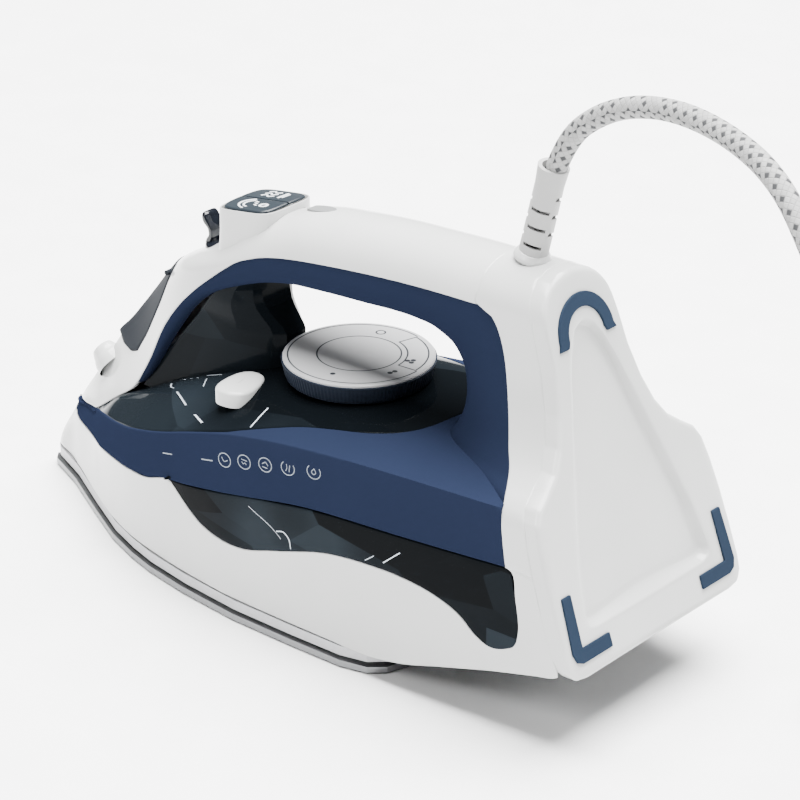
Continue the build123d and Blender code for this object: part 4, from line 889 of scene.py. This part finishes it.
class IRON_OT_lower_body(Maker, bpy.types.Operator):
    """White skirt, tank window, navy band and tinted deck"""

    bl_idname = "iron.lower_body"
    bl_label = "Lower body"

    def strip(self, table, rows, sink=0.0):
        """Side surface between two outlines: straight across in x and z between matching
        points, snapped to the ridge where it starts at the nose, with y from body_half."""
        at_nose = table[0][0] > POST_X
        keys = flow(table, 2.0, dense_start=at_nose)
        upper, lower = keys[:, :2], keys[:, 2:]
        share = across(np.linalg.norm(upper - lower, axis=1), rows)[..., None]
        flat = lower[:, None] * (1 - share) + upper[:, None] * share
        x, z = flat[..., 0], flat[..., 1]
        if at_nose:
            x = to_ridge(x, z, travelled(upper))
        points = np.stack([x, body_half(x, z) - sink, z], axis=-1)
        if at_nose:
            points[0, :, 1] = 0.0
        return rolled(points, NEAR, self.seam)

    def execute(self, context):
        skirt, window = self.strip(SKIRT, 16), self.strip(WINDOW, 14, sink=0.15)
        self.piece("skirt", both(skirt), "white", wall=self.wall, replaces=("base_skirt",))
        self.piece("tank_window", both(window), "window", wall=self.wall, replaces=("water_tank",))
        self.band()
        self.deck()
        return {"FINISHED"}

    def band(self):
        """Navy band: side from its lower edge to the crease, a rolled crease, then the
        deck inwards to the clear cover's edge, as one strip along the body."""
        along = np.concatenate([
            [0, 0.2, 0.6, 1.2, 2.0, 3.2, 4.8, 7.0, 9.5], np.arange(12.0, 255.0, 1.6), [256.0]])
        share = along / along[-1]
        (top_nose, top_heel), (bottom_nose, bottom_heel) = (135.3, -117.0), (139.0, -121.6)
        top_x = top_nose + (top_heel - top_nose) * share
        bottom_x = bottom_nose + (bottom_heel - bottom_nose) * share
        top_z, bottom_z = curve(*BAND_TOP.T, top_x), curve(*BAND_BOTTOM.T, bottom_x)
        t = across(top_z - bottom_z, 14)
        x = bottom_x[:, None] + (top_x - bottom_x)[:, None] * t
        z = bottom_z[:, None] + (top_z - bottom_z)[:, None] * t
        x = to_ridge(x, z, along)
        y = body_half(x, z)
        y[0] = 0.0
        side = np.stack([x, y, z], axis=-1)[:, :-3]
        crease_y = y[:, -1]
        least = 0.7
        inner_y = np.where(top_x > POST_X, crease_y - least, curve(*DECK_EDGE.T, top_x))
        inner_y = np.minimum(np.maximum(inner_y, 0.0), np.maximum(crease_y - least, 0.0))
        # Shares of the way in, with rows close to the crease where the deck is wide.
        close = 0.6
        inward = np.concatenate([[0.0, 0.25, close], close + np.linspace(0, 1, 22)[1:] ** 1.2 * 60.0])
        reach = np.maximum(crease_y - inner_y, 0.02)[:, None]
        bunched = np.minimum(inward, close) * np.clip((reach - 1.5) / 6.0, 0, 1) * 0.5
        deck_y = crease_y[:, None] - np.minimum(reach, inward * reach / inward[-1] + bunched)
        deck_y[:, -1] = inner_y
        deck_x = np.repeat(top_x[:, None], deck_y.shape[1], axis=1)
        front = (top_x > POST_X)[:, None]
        height = np.where(front, top_z[:, None], deck_height(deck_x, deck_y) + top_z[:, None]
                          - deck_height(top_x, crease_y)[:, None])
        over = np.stack([deck_x, deck_y, height], axis=-1)
        points = np.concatenate([side, over], axis=1)
        points = rolled(points, (0.0, 1.0, 0.6), self.seam)
        self.piece("navy_band", both(points, (0.0, 1.0, 0.6)), "navy", wall=self.wall, smooth=60,
                   replaces=("side_band",))

    def deck(self):
        """Tinted deck between the band's inner edges, by deck_height, and the neck under
        the front post: a polygon in plan that narrows towards the handle."""
        x = np.linspace(-62.3, 113.0, 130)[:, None]
        edge = curve(*DECK_EDGE.T, x[:, 0])[:, None]
        # The deck starts under the band's edge, a hair below it.
        tuck, columns = 0.25, 61
        y = (edge + tuck) * np.linspace(-1, 1, columns)
        deck = np.stack([np.repeat(x, columns, axis=1), y, deck_height(x, y) - tuck], axis=-1)
        heights = np.array([58.0, 76.0, 95.0, 96.5, 98.0, 100.0, 102.0, 104.5, 107.5, 112.0, 118.0])
        plan = np.array([
            (84.0, 13.6), (66.0, 13.6), (54.0, 13.2), (42.0, 10.6), (32.0, 8.4), (25.6, 5.2), (24.0, 0.0)])
        plan = np.concatenate([plan, (plan * (1, -1))[::-1][1:]])
        plan_rear, plan_length = 24.0, 60.0
        front = ridge_x(heights) - 32.0
        rear = curve([58.0, 95.0, 98.0, 102.0, 106.0, 112.0, 118.0],
                     [17.6, 17.7, 19.6, 24.1, 27.2, 28.8, 29.0], heights)
        flare = np.interp(heights, [98.0, 107.0], [0.0, 2.2])[:, None]
        x_rings = rear[:, None] + (front - rear)[:, None] * (plan[:, 0] - plan_rear) / plan_length
        y_rings = plan[:, 1] + np.sign(plan[:, 1]) * flare
        neck = np.stack([x_rings, y_rings, np.repeat(heights[:, None], len(plan), axis=1)], axis=-1)
        outward = (neck - (55.0, 0.0, 0.0)) * (1, 1, 0)
        self.piece("tinted_deck", [(deck, UP)], "deck", wall=1.2, replaces=("tank_cover",))
        self.piece("tank_neck", [(neck, outward)], "neck", smooth=15)


def shell_grid():
    """Near half of the handle shell and its outward directions, from the top line to the
    lower edge. Its half-width at a share f of the way down is
    edge * (wedge + (bow - wedge) * turn): wedge = sqrt(0.04 f + 0.96 f^2) on the post, and
    bow = (1 - (1 - f')^2.2)^(1/2.2) on the handle, with f' the drop over 18.6 mm."""
    keys = flow(SHELL, 1.8)
    edge, top = keys[:, (0, 1)], keys[:, (3, 4)]
    length = np.linalg.norm(edge - top, axis=1)
    share = (1 - np.cos(np.linspace(0, pi / 2, 26)))[None, :] * np.ones((len(keys), 1))
    share = np.sort(np.concatenate([share, across(length, 1)[:, -4:-1]], axis=1), axis=1)
    deep, power = 18.6, 2.2
    drop = np.clip(share * length[:, None] / deep, 0, 1)
    full = np.clip(length / deep, 0, 1)[:, None]
    bow = (1 - (1 - drop) ** power) ** (1 / power) / (1 - (1 - full) ** power) ** (1 / power)
    wedge = np.sqrt(0.04 * share + 0.96 * share**2)
    turn = eased(np.clip((76.0 - edge[:, 0]) / 40.0, 0, 1))[:, None]
    half = keys[:, 2][:, None] * (wedge + (bow - wedge) * turn)
    flat = top[:, None] * (1 - share[..., None]) + edge[:, None] * share[..., None]
    points = np.stack([flat[..., 0], half, flat[..., 1]], axis=-1)
    outward = np.stack([np.full(half.shape, 0.2), half, flat[..., 1] - flat[:, -1:, 1] + 2], axis=-1)
    return points, outward


class IRON_OT_handle(Maker, bpy.types.Operator):
    """White handle shell, its rear sleeve and the navy grip liner"""

    bl_idname = "iron.handle"
    bl_label = "Handle"

    def execute(self, context):
        self.shell()
        self.liner()
        return {"FINISHED"}

    def shell(self):
        """White shell: shell_grid on the handle and post, and the rear sleeve, which is the
        foot section carried back to the heel cover."""
        points, outward = shell_grid()
        points = rolled(points, outward, self.seam, edges=(False, True))
        travel = travelled(FOOT_SECTION)
        section = curve(travel, FOOT_SECTION, np.linspace(0, travel[-1], 76))
        half, height = section.T
        heel = HEEL_ORIGIN[0] + HEEL_SLOPE * (height - HEEL_ORIGIN[2]) + HEEL_SEAM
        front = curve(*SHELL_REAR.T, height)
        x = front[:, None] + (heel - front)[:, None] * across(front - heel, 16)
        z = np.repeat(height[:, None], x.shape[1], axis=1)
        y = np.where(z > 86.5, half[:, None], foot_half(x, z))
        sleeve = np.stack([x, y, z], axis=-1)
        out = np.stack([np.zeros_like(y), y + 1, (z > 120) * (z - 120)], axis=-1)
        # Its front edge is rounded only beside the navy liner, below the handle's top.
        sleeve = np.where((height < 141.0)[:, None, None], rolled(sleeve, out, self.seam),
                          rolled(sleeve, out, self.seam, edges=(False, True)))
        # Under the caps the shell drops, so that there is room for them to be pressed.
        x, y, z = np.moveaxis(points, -1, 0)
        well = (np.abs(x - CAP_X) < 12.4) & (np.abs(y) < 12.3) & (z > 130)
        points[..., 2] = np.where(well, np.minimum(z, block_top(x) - 4.8), z)
        self.piece("white_shell", both(points, outward) + both(sleeve, out), "white", wall=self.wall,
                   smooth=50, replaces=("handle_shell",))

    def liner(self):
        """Grip liner: across it, share f runs from the shell's edge to the opening by a
        superellipse, f = sin(a)^(2/m), and the half-width closes as cos(a)^(2/m)."""
        keys = flow(np.concatenate([LINER_OUTER, LINER_INNER], axis=1), 1.8)
        outer, inner = keys[:, :2], keys[:, 3:5]
        angle = np.linspace(0, pi / 2, 30)[None, :]
        power = (2.0 / (2.6 + 3.0 * np.clip((50.0 - outer[:, 0]) / 20.0, 0, 1)))[:, None]
        share = np.sin(angle) ** power
        close = np.cos(angle) ** power
        outer_half, inner_half = keys[:, 2][:, None], keys[:, 5][:, None]
        level = outer_half + (np.minimum(outer_half, 19.0) - outer_half) * share**0.8
        half = inner_half + (level - inner_half) * close
        half[:, -1] = inner_half[:, 0]
        flat = outer[:, None] * (1 - share[..., None]) + inner[:, None] * share[..., None]
        points = np.stack([flat[..., 0], half, flat[..., 1]], axis=-1)
        out = np.stack([(outer[:, 0] > 40)[:, None] * -0.3 + 0 * half, half + 0.5, 0 * half], axis=-1)
        points = rolled(points, out, self.seam, edges=(True, False))
        self.piece("grip_liner", both(points, out), "navy", smooth=50, replaces=("handle_grip",))


def ring_radius(outline, angles):
    """Distance from HEEL_CENTRE to a closed outline along each angle: the ray meets the
    outline's pieces where its cross product with them is zero."""
    outline = np.array(outline + [(-u, v) for u, v in outline[::-1][1:-1]]) - HEEL_CENTRE
    (start_x, start_y), (run_x, run_y) = outline.T, (np.roll(outline, -1, axis=0) - outline).T
    ray_x, ray_y = np.cos(angles)[:, None], np.sin(angles)[:, None]
    cross = ray_x * run_y - ray_y * run_x
    cross = np.where(np.abs(cross) < 1e-9, 1e-9, cross)
    far = (start_x * run_y - start_y * run_x) / cross
    along = (start_x * ray_y - start_y * ray_x) / cross
    good = (along >= -1e-6) & (along <= 1 + 1e-6) & (far > 0)
    return np.where(good, far, 1e6).min(axis=1)


class IRON_OT_heel(Maker, bpy.types.Operator):
    """Heel cover with its tapered recess"""

    bl_idname = "iron.heel"
    bl_label = "Heel"

    def execute(self, context):
        angles = np.linspace(0, tau, 360, endpoint=False)
        outer, recess = ring_radius(HEEL_EDGE, angles), ring_radius(HEEL_RECESS, angles)
        recess = (np.roll(recess, 1) + 2 * recess + np.roll(recess, -1)) / 4
        rim = ((0.05, -HEEL_PLATE), (0.05, -1.8), (0.15, -1.1), (0.6, -0.5), (1.2, -0.15), (2.0, 0.0))
        profile = [(outer - inset, depth) for inset, depth in rim]
        profile += [(outer - 2.0 + (recess + 1.0 - outer + 2.0) * k / 8, 0.0) for k in range(1, 9)]
        bevel = 1.6 + 3.4 * np.clip(-np.sin(angles) - 0.35, 0, 1)
        profile += [(recess + 0.4, -0.12), (recess - 0.1, -0.5), (recess - bevel * 0.55, -1.9),
                    (recess - bevel, -2.75), (recess - bevel - 1.0, -3.0)]
        profile += [((recess - bevel - 1.0) * (1 - k / 12), -3.0) for k in range(1, 12)]
        radius = np.array([radius for radius, _ in profile])
        u, v = HEEL_CENTRE[0] + radius * np.cos(angles), HEEL_CENTRE[1] + radius * np.sin(angles)
        depth = np.array([depth for _, depth in profile])[:, None, None]
        # The side runs level, in line with the shell; the recess runs along the normal.
        level = (np.arange(len(profile)) < len(rim))[:, None, None]
        inward = np.where(level, (1.0 / HEEL_NORMAL[0], 0.0, 0.0), HEEL_NORMAL)
        points = HEEL_ORIGIN - u[..., None] * np.array(NEAR) + v[..., None] * HEEL_UP + depth * inward
        middle = np.repeat(points[-1:].mean(axis=1, keepdims=True), len(angles), axis=1)
        points = np.concatenate([points, middle])
        self.piece("heel_cover", [(points, HEEL_NORMAL)], "white", closed=True, smooth=32,
                   replaces=("rear_cover",))
        for name in ("heel_pad_arch", "heel_pad_left", "heel_pad_right"):
            self.dress(NODES[name], "pad", 0.35)
        return {"FINISHED"}


class IRON_OT_lid_and_nozzle(Maker, bpy.types.Operator):
    """Filler lid on the front ridge and the spray nozzle"""

    bl_idname = "iron.lid_and_nozzle"
    bl_label = "Lid and nozzle"

    def execute(self, context):
        shell, _ = shell_grid()
        top_z = shell[:, 0, 2]
        rows = shell[(top_z > 67.5) & (top_z < 110.5)]
        along = np.linspace(0, 1, len(rows))
        half = np.interp(along, [0.0, 0.05, 0.13, 0.3, 0.6, 0.93, 1.0],
                         [5.0, 9.0, 11.0, 11.4, 11.0, 9.6, 8.4])
        share = np.linspace(0, 1, 18)
        near = np.stack([
            np.stack([np.interp(width * share, row[:, 1], row[:, k]) for k in range(3)], axis=1)
            for row, width in zip(rows, half)])
        lift = 0.35 + 0.9 * np.exp(-(along / 0.12) ** 2)
        lid = np.concatenate([mirrored(near)[:, :0:-1], near], axis=1)
        lid = lid + lift[:, None, None] * (1.0, 0.0, 1.0)
        lid = rolled(lid, (1.0, 0.0, 0.8), 0.45)
        self.piece("lid_panel", [(lid, (1.0, 0.0, 0.8))], "smoke", body="filler_lid", wall=1.4,
                   replaces=("filler_lid",))
        axis = np.array((0.80, 0.0, 0.60))
        root = np.array((119.8, 0.0, 56.0))
        profile = [(7.4, -4.5), (6.9, -1.6), (6.2, 0.2), (5.7, 0.9), (5.5, 1.6), (4.6, 3.6), (4.2, 4.2),
                   (3.6, 4.5), (2.3, 4.5), (2.0, 4.2), (1.9, 2.5)]
        nozzle = swept_rings(root, axis, profile)
        self.piece("nozzle_cap", [(nozzle, nozzle - root + axis * 2)], "white", closed=True, smooth=40,
                   replaces=("spray_nozzle",))
        return {"FINISHED"}


class IRON_OT_buttons(Maker, bpy.types.Operator):
    """Button block with its two caps, the steam lever and the self-clean button"""

    bl_idname = "iron.buttons"
    bl_label = "Buttons"

    @staticmethod
    def block(inset, heights):
        """Rounded rectangle in plan, |x|^5 + |y|^5 = 1 on the block's half sizes less the
        inset, carried through heights above the sloping top."""
        c, s, around = rounded_ring(5, 120)
        grow, height = np.array([inset, heights])[..., None]
        x = CAP_X + (13.6 - grow) * around * c
        y = (13.5 - grow) * around * s
        return np.stack([x, y, np.maximum(block_top(x) + height, 100.0)], axis=-1)

    def cap(self, name, node, side):
        """Cap of one button, half of the rounded rectangle |x|^5 + |y|^5 = 1 on CAP_HALF,
        under cap_top. Its outer edge is a quarter circle of 0.9 mm, and its edge along
        the middle one of 0.3 mm, 0.2 mm from the middle."""
        gap, outer_round, inner_round = 0.2, 0.9, 0.3
        u = np.sin(np.linspace(-1, 1, 90) * pi / 2)[:, None] * 0.9995
        share = np.sin(np.linspace(0, 1, 50) * pi / 2)[None, :]
        x = CAP_X + CAP_HALF * u + 0 * share
        y = gap + (CAP_HALF * (1 - np.abs(u) ** 5) ** 0.2 - gap) * share
        edge = CAP_HALF * (1 - (np.abs(u) ** 5 + (y / CAP_HALF) ** 5) ** 0.2)
        outer = outer_round - np.clip(edge, 0, outer_round)
        inner = inner_round - np.clip(y - gap, 0, inner_round)
        sink = (outer_round - np.sqrt(np.maximum(outer_round**2 - outer**2, 0))
                + inner_round - np.sqrt(np.maximum(inner_round**2 - inner**2, 0)))
        points = np.stack([x, side * y, cap_top(x, y) - sink], axis=-1)
        self.piece(name, [(points, UP)], "slate", body=node, wall=1.2, smooth=50, replaces=(node,))

    def symbol(self, name, node, strokes):
        """Printed symbol on a cap: each stroke is a list of (x, y) with its width."""
        grids = []
        for path, width in strokes:
            fine = drawn(path, 0.3, 12)
            grids.append((ribbon(np.column_stack([fine, cap_top(*fine.T) + 0.07]), width, UP), UP))
        self.piece(name, grids, "icon", body=node, wall=0.05)

    def execute(self, context):
        walls = self.block([-1.6, -0.7, -0.15, 0.0, 0.0, 0.06, 0.2, 0.4, 0.55, 0.6],
                           [-24.0, -18.0, -12.0, -7.0, -0.5, -0.2, 0.0, 0.0, -0.2, -4.5])
        middle = np.array((33.6, 0.0, 130.0))
        outward = (walls - middle) * (1, 1, 0)
        floor = self.block([0.6, 3.0, 8.0, 13.4], [-4.4, -4.3, -4.2, -4.2])
        self.piece("button_block", [(walls, outward), (floor, UP)], "white", closed=True,
                   smooth=40, replaces=("button_housing",))
        for name, side in BUTTON_SIDES.items():
            self.cap(f"{name}_cap", f"{name}_button", side)
        sweep = np.linspace(-1.1, 1.3, 12)
        arcs = [([(33.0 + reach * cos(a), 6.0 + 0.75 * reach * sin(a)) for a in sweep], 0.8)
                for reach in (4.6, 6.6)]
        drops = [([(34.6 - 0.9 * k, 3.4 + 1.6 * k), (32.8 - 0.9 * k, 4.2 + 1.6 * k)], 0.8) for k in range(3)]
        cloud = [([(28.4 + 1.5 * cos(a), 6.2 + 1.3 * sin(a)) for a in np.linspace(0, tau, 14)], 1.1)]
        waves = [([(38.5, y), (36.5, y + 1.1), (34.5, y - 0.4), (32.5, y + 0.8)], 0.8)
                 for y in (3.2, 5.6, 8.0)]
        flat = [([(29.6, 2.6), (29.6, 9.0)], 1.0), ([(28.2, 3.4), (28.2, 8.2)], 0.7)]
        for name, strokes in (("steam", arcs + drops + cloud), ("spray", waves + flat)):
            side = BUTTON_SIDES[name]
            self.symbol(f"{name}_symbol", f"{name}_button", [
                ([(u, side * v) for u, v in path], width) for path, width in strokes])
        self.lever()
        self.clean_button()
        self.dress(NODES["indicator_lens"], "lens", 0.4)
        return {"FINISHED"}

    def lever(self):
        """Steam lever: a round foot and a curved paddle, rounded boxes in section."""
        c, s, around = rounded_ring(4, 40)
        line = flow([(57.6, 118.2, 2.4, 4.2), (59.6, 121.0, 1.9, 3.9), (58.6, 124.2, 1.2, 3.7),
                     (59.0, 127.0, 1.1, 3.8), (61.2, 130.0, 1.5, 3.9), (61.9, 131.8, 1.2, 3.5),
                     (62.0, 132.5, 0.7, 3.0), (62.0, 132.7, 0.05, 2.4)], 0.35)
        along = np.gradient(line[:, :2], axis=0)
        along /= np.linalg.norm(along, axis=1, keepdims=True)
        (x, z, thick, wide), (ax, az) = line.T[..., None], along.T[..., None]
        across_line = thick * around * c
        paddle = np.stack([x + across_line * az, wide * around * s, z - across_line * ax], axis=-1)
        foot = swept_rings((55.0, 0.0, 0.0), UP, [
            (6.6, 117.5), (6.9, 118.0), (6.9, 120.9), (6.5, 121.5), (5.6, 121.8), (0.02, 121.9)], count=64)
        self.piece("steam_paddle", [
            (paddle, paddle - line[:, None, (0, 0, 1)] * (1, 0, 1)), (foot, foot - (55.0, 0.0, 112.0))],
            "black", body="steam_lever", closed=True, smooth=40, replaces=("steam_lever",))

    def clean_button(self):
        """Self-clean button: a rounded leaf in plan, |u|^2.5 + |v|^2.5 = 1, with a soft
        crown."""
        c, s, around = rounded_ring(2.5, 96)
        turn = radians(-80.0)
        inset, z = np.array([(0.0, 78.4), (0.0, 83.1), (0.2, 83.7), (0.7, 84.15), (1.6, 84.4), (4.0, 84.6),
                             (8.2, 84.7)]).T[..., None]
        u = (10.7 - inset) * around * c
        v = np.maximum(7.3 - inset, 0.05) * around * s * (1.0 - 0.14 * c)
        leaf = np.stack([
            20.2 + u * cos(turn) - v * sin(turn), 28.8 + u * sin(turn) + v * cos(turn), z + 0 * u], axis=-1)
        self.piece("clean_cap", [(leaf, leaf - (19.5, 30.5, 70.0))], "white", body="self_clean_button",
                   closed=True, smooth=40, replaces=("self_clean_button",))


class IRON_OT_dial(Maker, bpy.types.Operator):
    """Temperature dial: ribbed ring and spun disc"""

    bl_idname = "iron.dial"
    bl_label = "Dial"

    def execute(self, context):
        turn = np.linspace(0, tau, 960, endpoint=False)
        radius, z, rib = np.array([
            (20.0, 87.25, 0.0), (26.6, 87.25, 0.0), (27.0, 87.5, 0.1), (27.4, 88.4, 0.22), (28.3, 92.4, 0.22),
            (28.6, 93.6, 0.1), (28.65, 94.1, 0.0), (27.9, 94.3, 0.0), (20.0, 94.2, 0.0)]).T[..., None]
        ribs = 60
        reach = radius - rib * (1 - np.abs(np.cos(ribs * turn)))
        ring = np.stack([DIAL_CENTRE[0] + reach * np.cos(turn), reach * np.sin(turn), z + 0 * reach], axis=-1)
        self.piece("ribbed_ring", [(ring, ring - (DIAL_CENTRE[0], 0.0, 90.7))], "ring",
                   body="temperature_dial", smooth=40, replaces=("dial_ring",))
        self.dress(NODES["dial_disc"], "silver")
        return {"FINISHED"}


class IRON_OT_marks(Maker, bpy.types.Operator):
    """Printed marks on the band, and painted glints on the clear deck and window, as bright strips"""

    bl_idname = "iron.marks"
    bl_label = "Marks and ribs"

    @staticmethod
    def side(path, width, lift=0.07):
        """Ribbon on the near side of the body through points (x, z)."""
        fine = drawn(path, 0.35)
        return ribbon(np.insert(fine, 1, body_half(*fine.T) + lift, axis=1), width, NEAR), NEAR

    @staticmethod
    def top(path, width):
        """Ribbon on the deck through points (x, y)."""
        fine = drawn(path, 0.4)
        return ribbon(np.column_stack([fine, deck_height(*fine.T) + 0.12]), width, UP), UP

    def execute(self, context):
        turn = np.linspace(0, tau, 22)
        half_turn = np.linspace(2.4, 7.0, 16)
        dashes = [(44.9, 53.8), (39.0, 55.5)], [(21.8, 59.8), (15.6, 61.3)]
        strokes = [self.side(dash, 0.45) for dash in dashes]
        # Each symbol of the band: the middle of its ring, whether the ring is closed, and
        # its strokes from there.
        symbols = (
            (9.4, 63.6, True, [[(-1.6, 0.5), (0.0, -0.6), (1.6, 0.9)]]),
            (-0.5, 66.0, True, [
                [(-1.5, 0.9), (1.5, 0.9)], [(-1.3, -0.9), (-0.5, -0.2), (0.3, -0.9), (1.2, -0.2)]]),
            (-10.9, 68.2, True, [[(-1.5, 0.0), (0.0, 1.2), (1.5, 0.0)], [(-1.2, -1.2), (1.2, -1.2)]]),
            (-21.9, 70.4, False, [[(-0.8, -1.6), (-0.8, 1.6)], [(0.9, -1.6), (0.4, 0.0), (0.9, 1.6)]]),
            (-34.2, 72.8, False, [[(0.0, 1.5), (-1.0, -0.4), (0.0, -1.2), (1.0, -0.4), (0.0, 1.5)]]),
        )
        for x, z, closed, paths in symbols:
            sweep = turn if closed else half_turn
            strokes.append(self.side([(x + 3.2 * cos(a), z + 2.5 * sin(a)) for a in sweep], 0.38))
            strokes += [self.side([(x + u, z + v * 0.8) for u, v in path], 0.35, 0.08) for path in paths]
        self.piece("band_print", strokes, "print", wall=0.04)
        # Painted highlights on the clear plastic: each strip is its width and its points.
        on_deck = (
            (0.75, [(57.0, 25.4), (44.2, 33.7)]), (0.9, [(34.6, 39.0), (27.0, 43.0)]),
            (0.6, [(66.5, 18.5), (64.5, 21.0), (61.5, 22.6)]), (0.4, [(47.6, 18.6), (44.0, 24.4)]),
            (0.5, [(0.6, 35.6), (1.2, 44.6)]), (0.6, [(51.0, 15.0), (43.3, 15.2)]),
            *((0.35, [(x, 16.4), (x - 1.5, 16.9)]) for x in (62.0, 58.6, 55.2)),
        )
        in_window = (
            (0.16, [(-3.6, 49.9), (-18.0, 43.4), (-19.8, 42.0)]),
            (0.42, [(-17.6, 44.4), (-21.0, 45.2), (-23.6, 43.4), (-24.6, 39.6)]),
            (0.4, [(-68.3, 49.0), (-75.9, 55.4)]), (0.25, [(-60.0, 47.2), (-64.0, 50.2)]),
        )
        # ribs holds the bright strips, which are painted highlights, not ribs.
        ribs = [self.top(path, width) for width, path in on_deck]
        ribs += [self.side(path, width, -0.08) for width, path in in_window]
        self.piece("clear_ribs", ribs, "glint", wall=0.04)
        return {"FINISHED"}


class IRON_OT_outlet(Maker, bpy.types.Operator):
    """Cord collar, slotted guard and plug"""

    bl_idname = "iron.outlet"
    bl_label = "Cord outlet"

    def slimmed(self, name, node, finish, body, bore, share, rounding):
        """Copy of a round CAD node with a slimmer wall: each point keeps its place along
        the guard's axis, and its distance from it becomes bore + share x (r - least r)."""
        mesh = NODES[node].data.copy()
        mesh.name = name
        flat = np.empty(len(mesh.vertices) * 3)
        mesh.vertices.foreach_get("co", flat)
        offset = flat.reshape(-1, 3) / MM - GUARD_BASE
        along = (offset @ GUARD_AXIS)[:, None] * GUARD_AXIS
        radial = offset - along
        reach = np.linalg.norm(radial, axis=1, keepdims=True)
        slim = radial / np.maximum(reach, 1e-6) * (bore + share * (reach - reach.min()))
        mesh.vertices.foreach_set("co", ((GUARD_BASE + along + slim) * MM).ravel())
        mesh.update()
        self.dress(self.linked(name, mesh, body, (node,)), finish, rounding)

    def execute(self, context):
        self.slimmed("collar_ring", "cord_collar", "white", "iron_body", 4.2, 0.66, 0.5)
        self.slimmed("guard_sleeve", "cord_guard", "sleeve", "cord_guard", 4.1, 0.6, 0.2)
        self.dress(NODES["plug_body"], "sleeve")
        self.dress(NODES["plug_pins"], "pins")
        return {"FINISHED"}


class IRON_OT_inside(Maker, bpy.types.Operator):
    """Finishes of the soleplate, the casting and the pieces inside"""

    bl_idname = "iron.inside"
    bl_label = "Inside pieces"

    def execute(self, context):
        by_finish = {
            "sole": ("soleplate",),
            "casting": ("steam_chamber", "chamber_cover"),
            "steel": ("heating_element", "chamber_screws", "thermostat", "thermal_fuse", "nozzle_tip",
                      "valve_rod", "steam_spring", "spray_spring", "self_clean_spring", "self_clean_rod"),
            "silicone": ("valve_gasket", "supply_leads"),
            "smoke": ("lid_hinge_pin",),
            "black": ("steam_pump", "spray_pump", "steam_piston", "spray_piston", "heat_shield", "dial_shaft",
                      "terminal_block", "cord_clamp", "lamp_board"),
            "sleeve": ("steam_pickup_pipe", "spray_pickup_pipe"),
        }
        for finish, names in by_finish.items():
            for name in names:
                self.dress(NODES[name], finish)
        return {"FINISHED"}


class IRON_OT_stage(Maker, bpy.types.Operator):
    """Pale floor, soft studio lights and a plain pale surround"""

    bl_idname = "iron.stage"
    bl_label = "Stage"

    def execute(self, context):
        mesh = bpy.data.meshes.new("floor")
        mesh.from_pydata([(-6, -6, 0), (6, -6, 0), (6, 6, 0), (-6, 6, 0)], [], [(0, 1, 2, 3)])
        floor = bpy.data.objects.new("floor", mesh)
        context.scene.collection.objects.link(floor)
        floor.data.materials.append(self.finish("paper"))
        world = bpy.data.worlds.new("surround")
        context.scene.world = world
        world.use_nodes = True
        world.node_tree.nodes["Background"].inputs["Color"].default_value = (1.0, 1.0, 1.0, 1.0)
        world.node_tree.nodes["Background"].inputs["Strength"].default_value = 0.2
        for name, place, power, size, aim in (
            ("overhead", (0.0, -0.45, 2.3), 620.0, 2.4, (0.0, 0.0, 0.05)),
            ("left", (0.3, 1.7, 1.5), 26.0, 0.7, (0.0, 0.0, 0.08)),
            ("rear", (-1.4, 0.1, 0.9), 8.0, 0.5, (0.0, 0.0, 0.08)),
        ):
            data = bpy.data.lights.new(name, "AREA")
            data.energy, data.size = power, size
            light = bpy.data.objects.new(name, data)
            light.location = place
            light.rotation_euler = (Vector(aim) - Vector(place)).to_track_quat("-Z", "Y").to_euler()
            context.scene.collection.objects.link(light)
        return {"FINISHED"}


class IRON_PT_panel(bpy.types.Panel):
    """Lists the properties and operators"""

    bl_label = "Steam iron"
    bl_idname = "IRON_PT_panel"
    bl_space_type = "VIEW_3D"
    bl_region_type = "UI"
    bl_category = "Steam iron"

    def draw(self, context):
        for group in (context.scene.iron_colours, context.scene.iron_sizes):
            for key in group.__annotations__:
                self.layout.prop(group, key)
        for step in STEPS:
            self.layout.operator(step.bl_idname)


STEPS = (
    IRON_OT_camera, IRON_OT_cord, IRON_OT_lower_body, IRON_OT_handle, IRON_OT_heel, IRON_OT_lid_and_nozzle,
    IRON_OT_buttons, IRON_OT_dial, IRON_OT_marks, IRON_OT_outlet, IRON_OT_inside, IRON_OT_stage,
)
CLASSES = (IronColours, IronSizes, *STEPS, IRON_PT_panel)


def register():
    for cls in CLASSES:
        bpy.utils.register_class(cls)
    bpy.types.Scene.iron_colours = bpy.props.PointerProperty(type=IronColours)
    bpy.types.Scene.iron_sizes = bpy.props.PointerProperty(type=IronSizes)


def unregister():
    del bpy.types.Scene.iron_colours
    del bpy.types.Scene.iron_sizes
    for cls in reversed(CLASSES):
        bpy.utils.unregister_class(cls)


def main():
    """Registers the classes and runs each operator."""
    register()
    for step in STEPS:
        group, name = step.bl_idname.split(".")
        getattr(getattr(bpy.ops, group), name)()


if __name__ == "__main__":
    main()
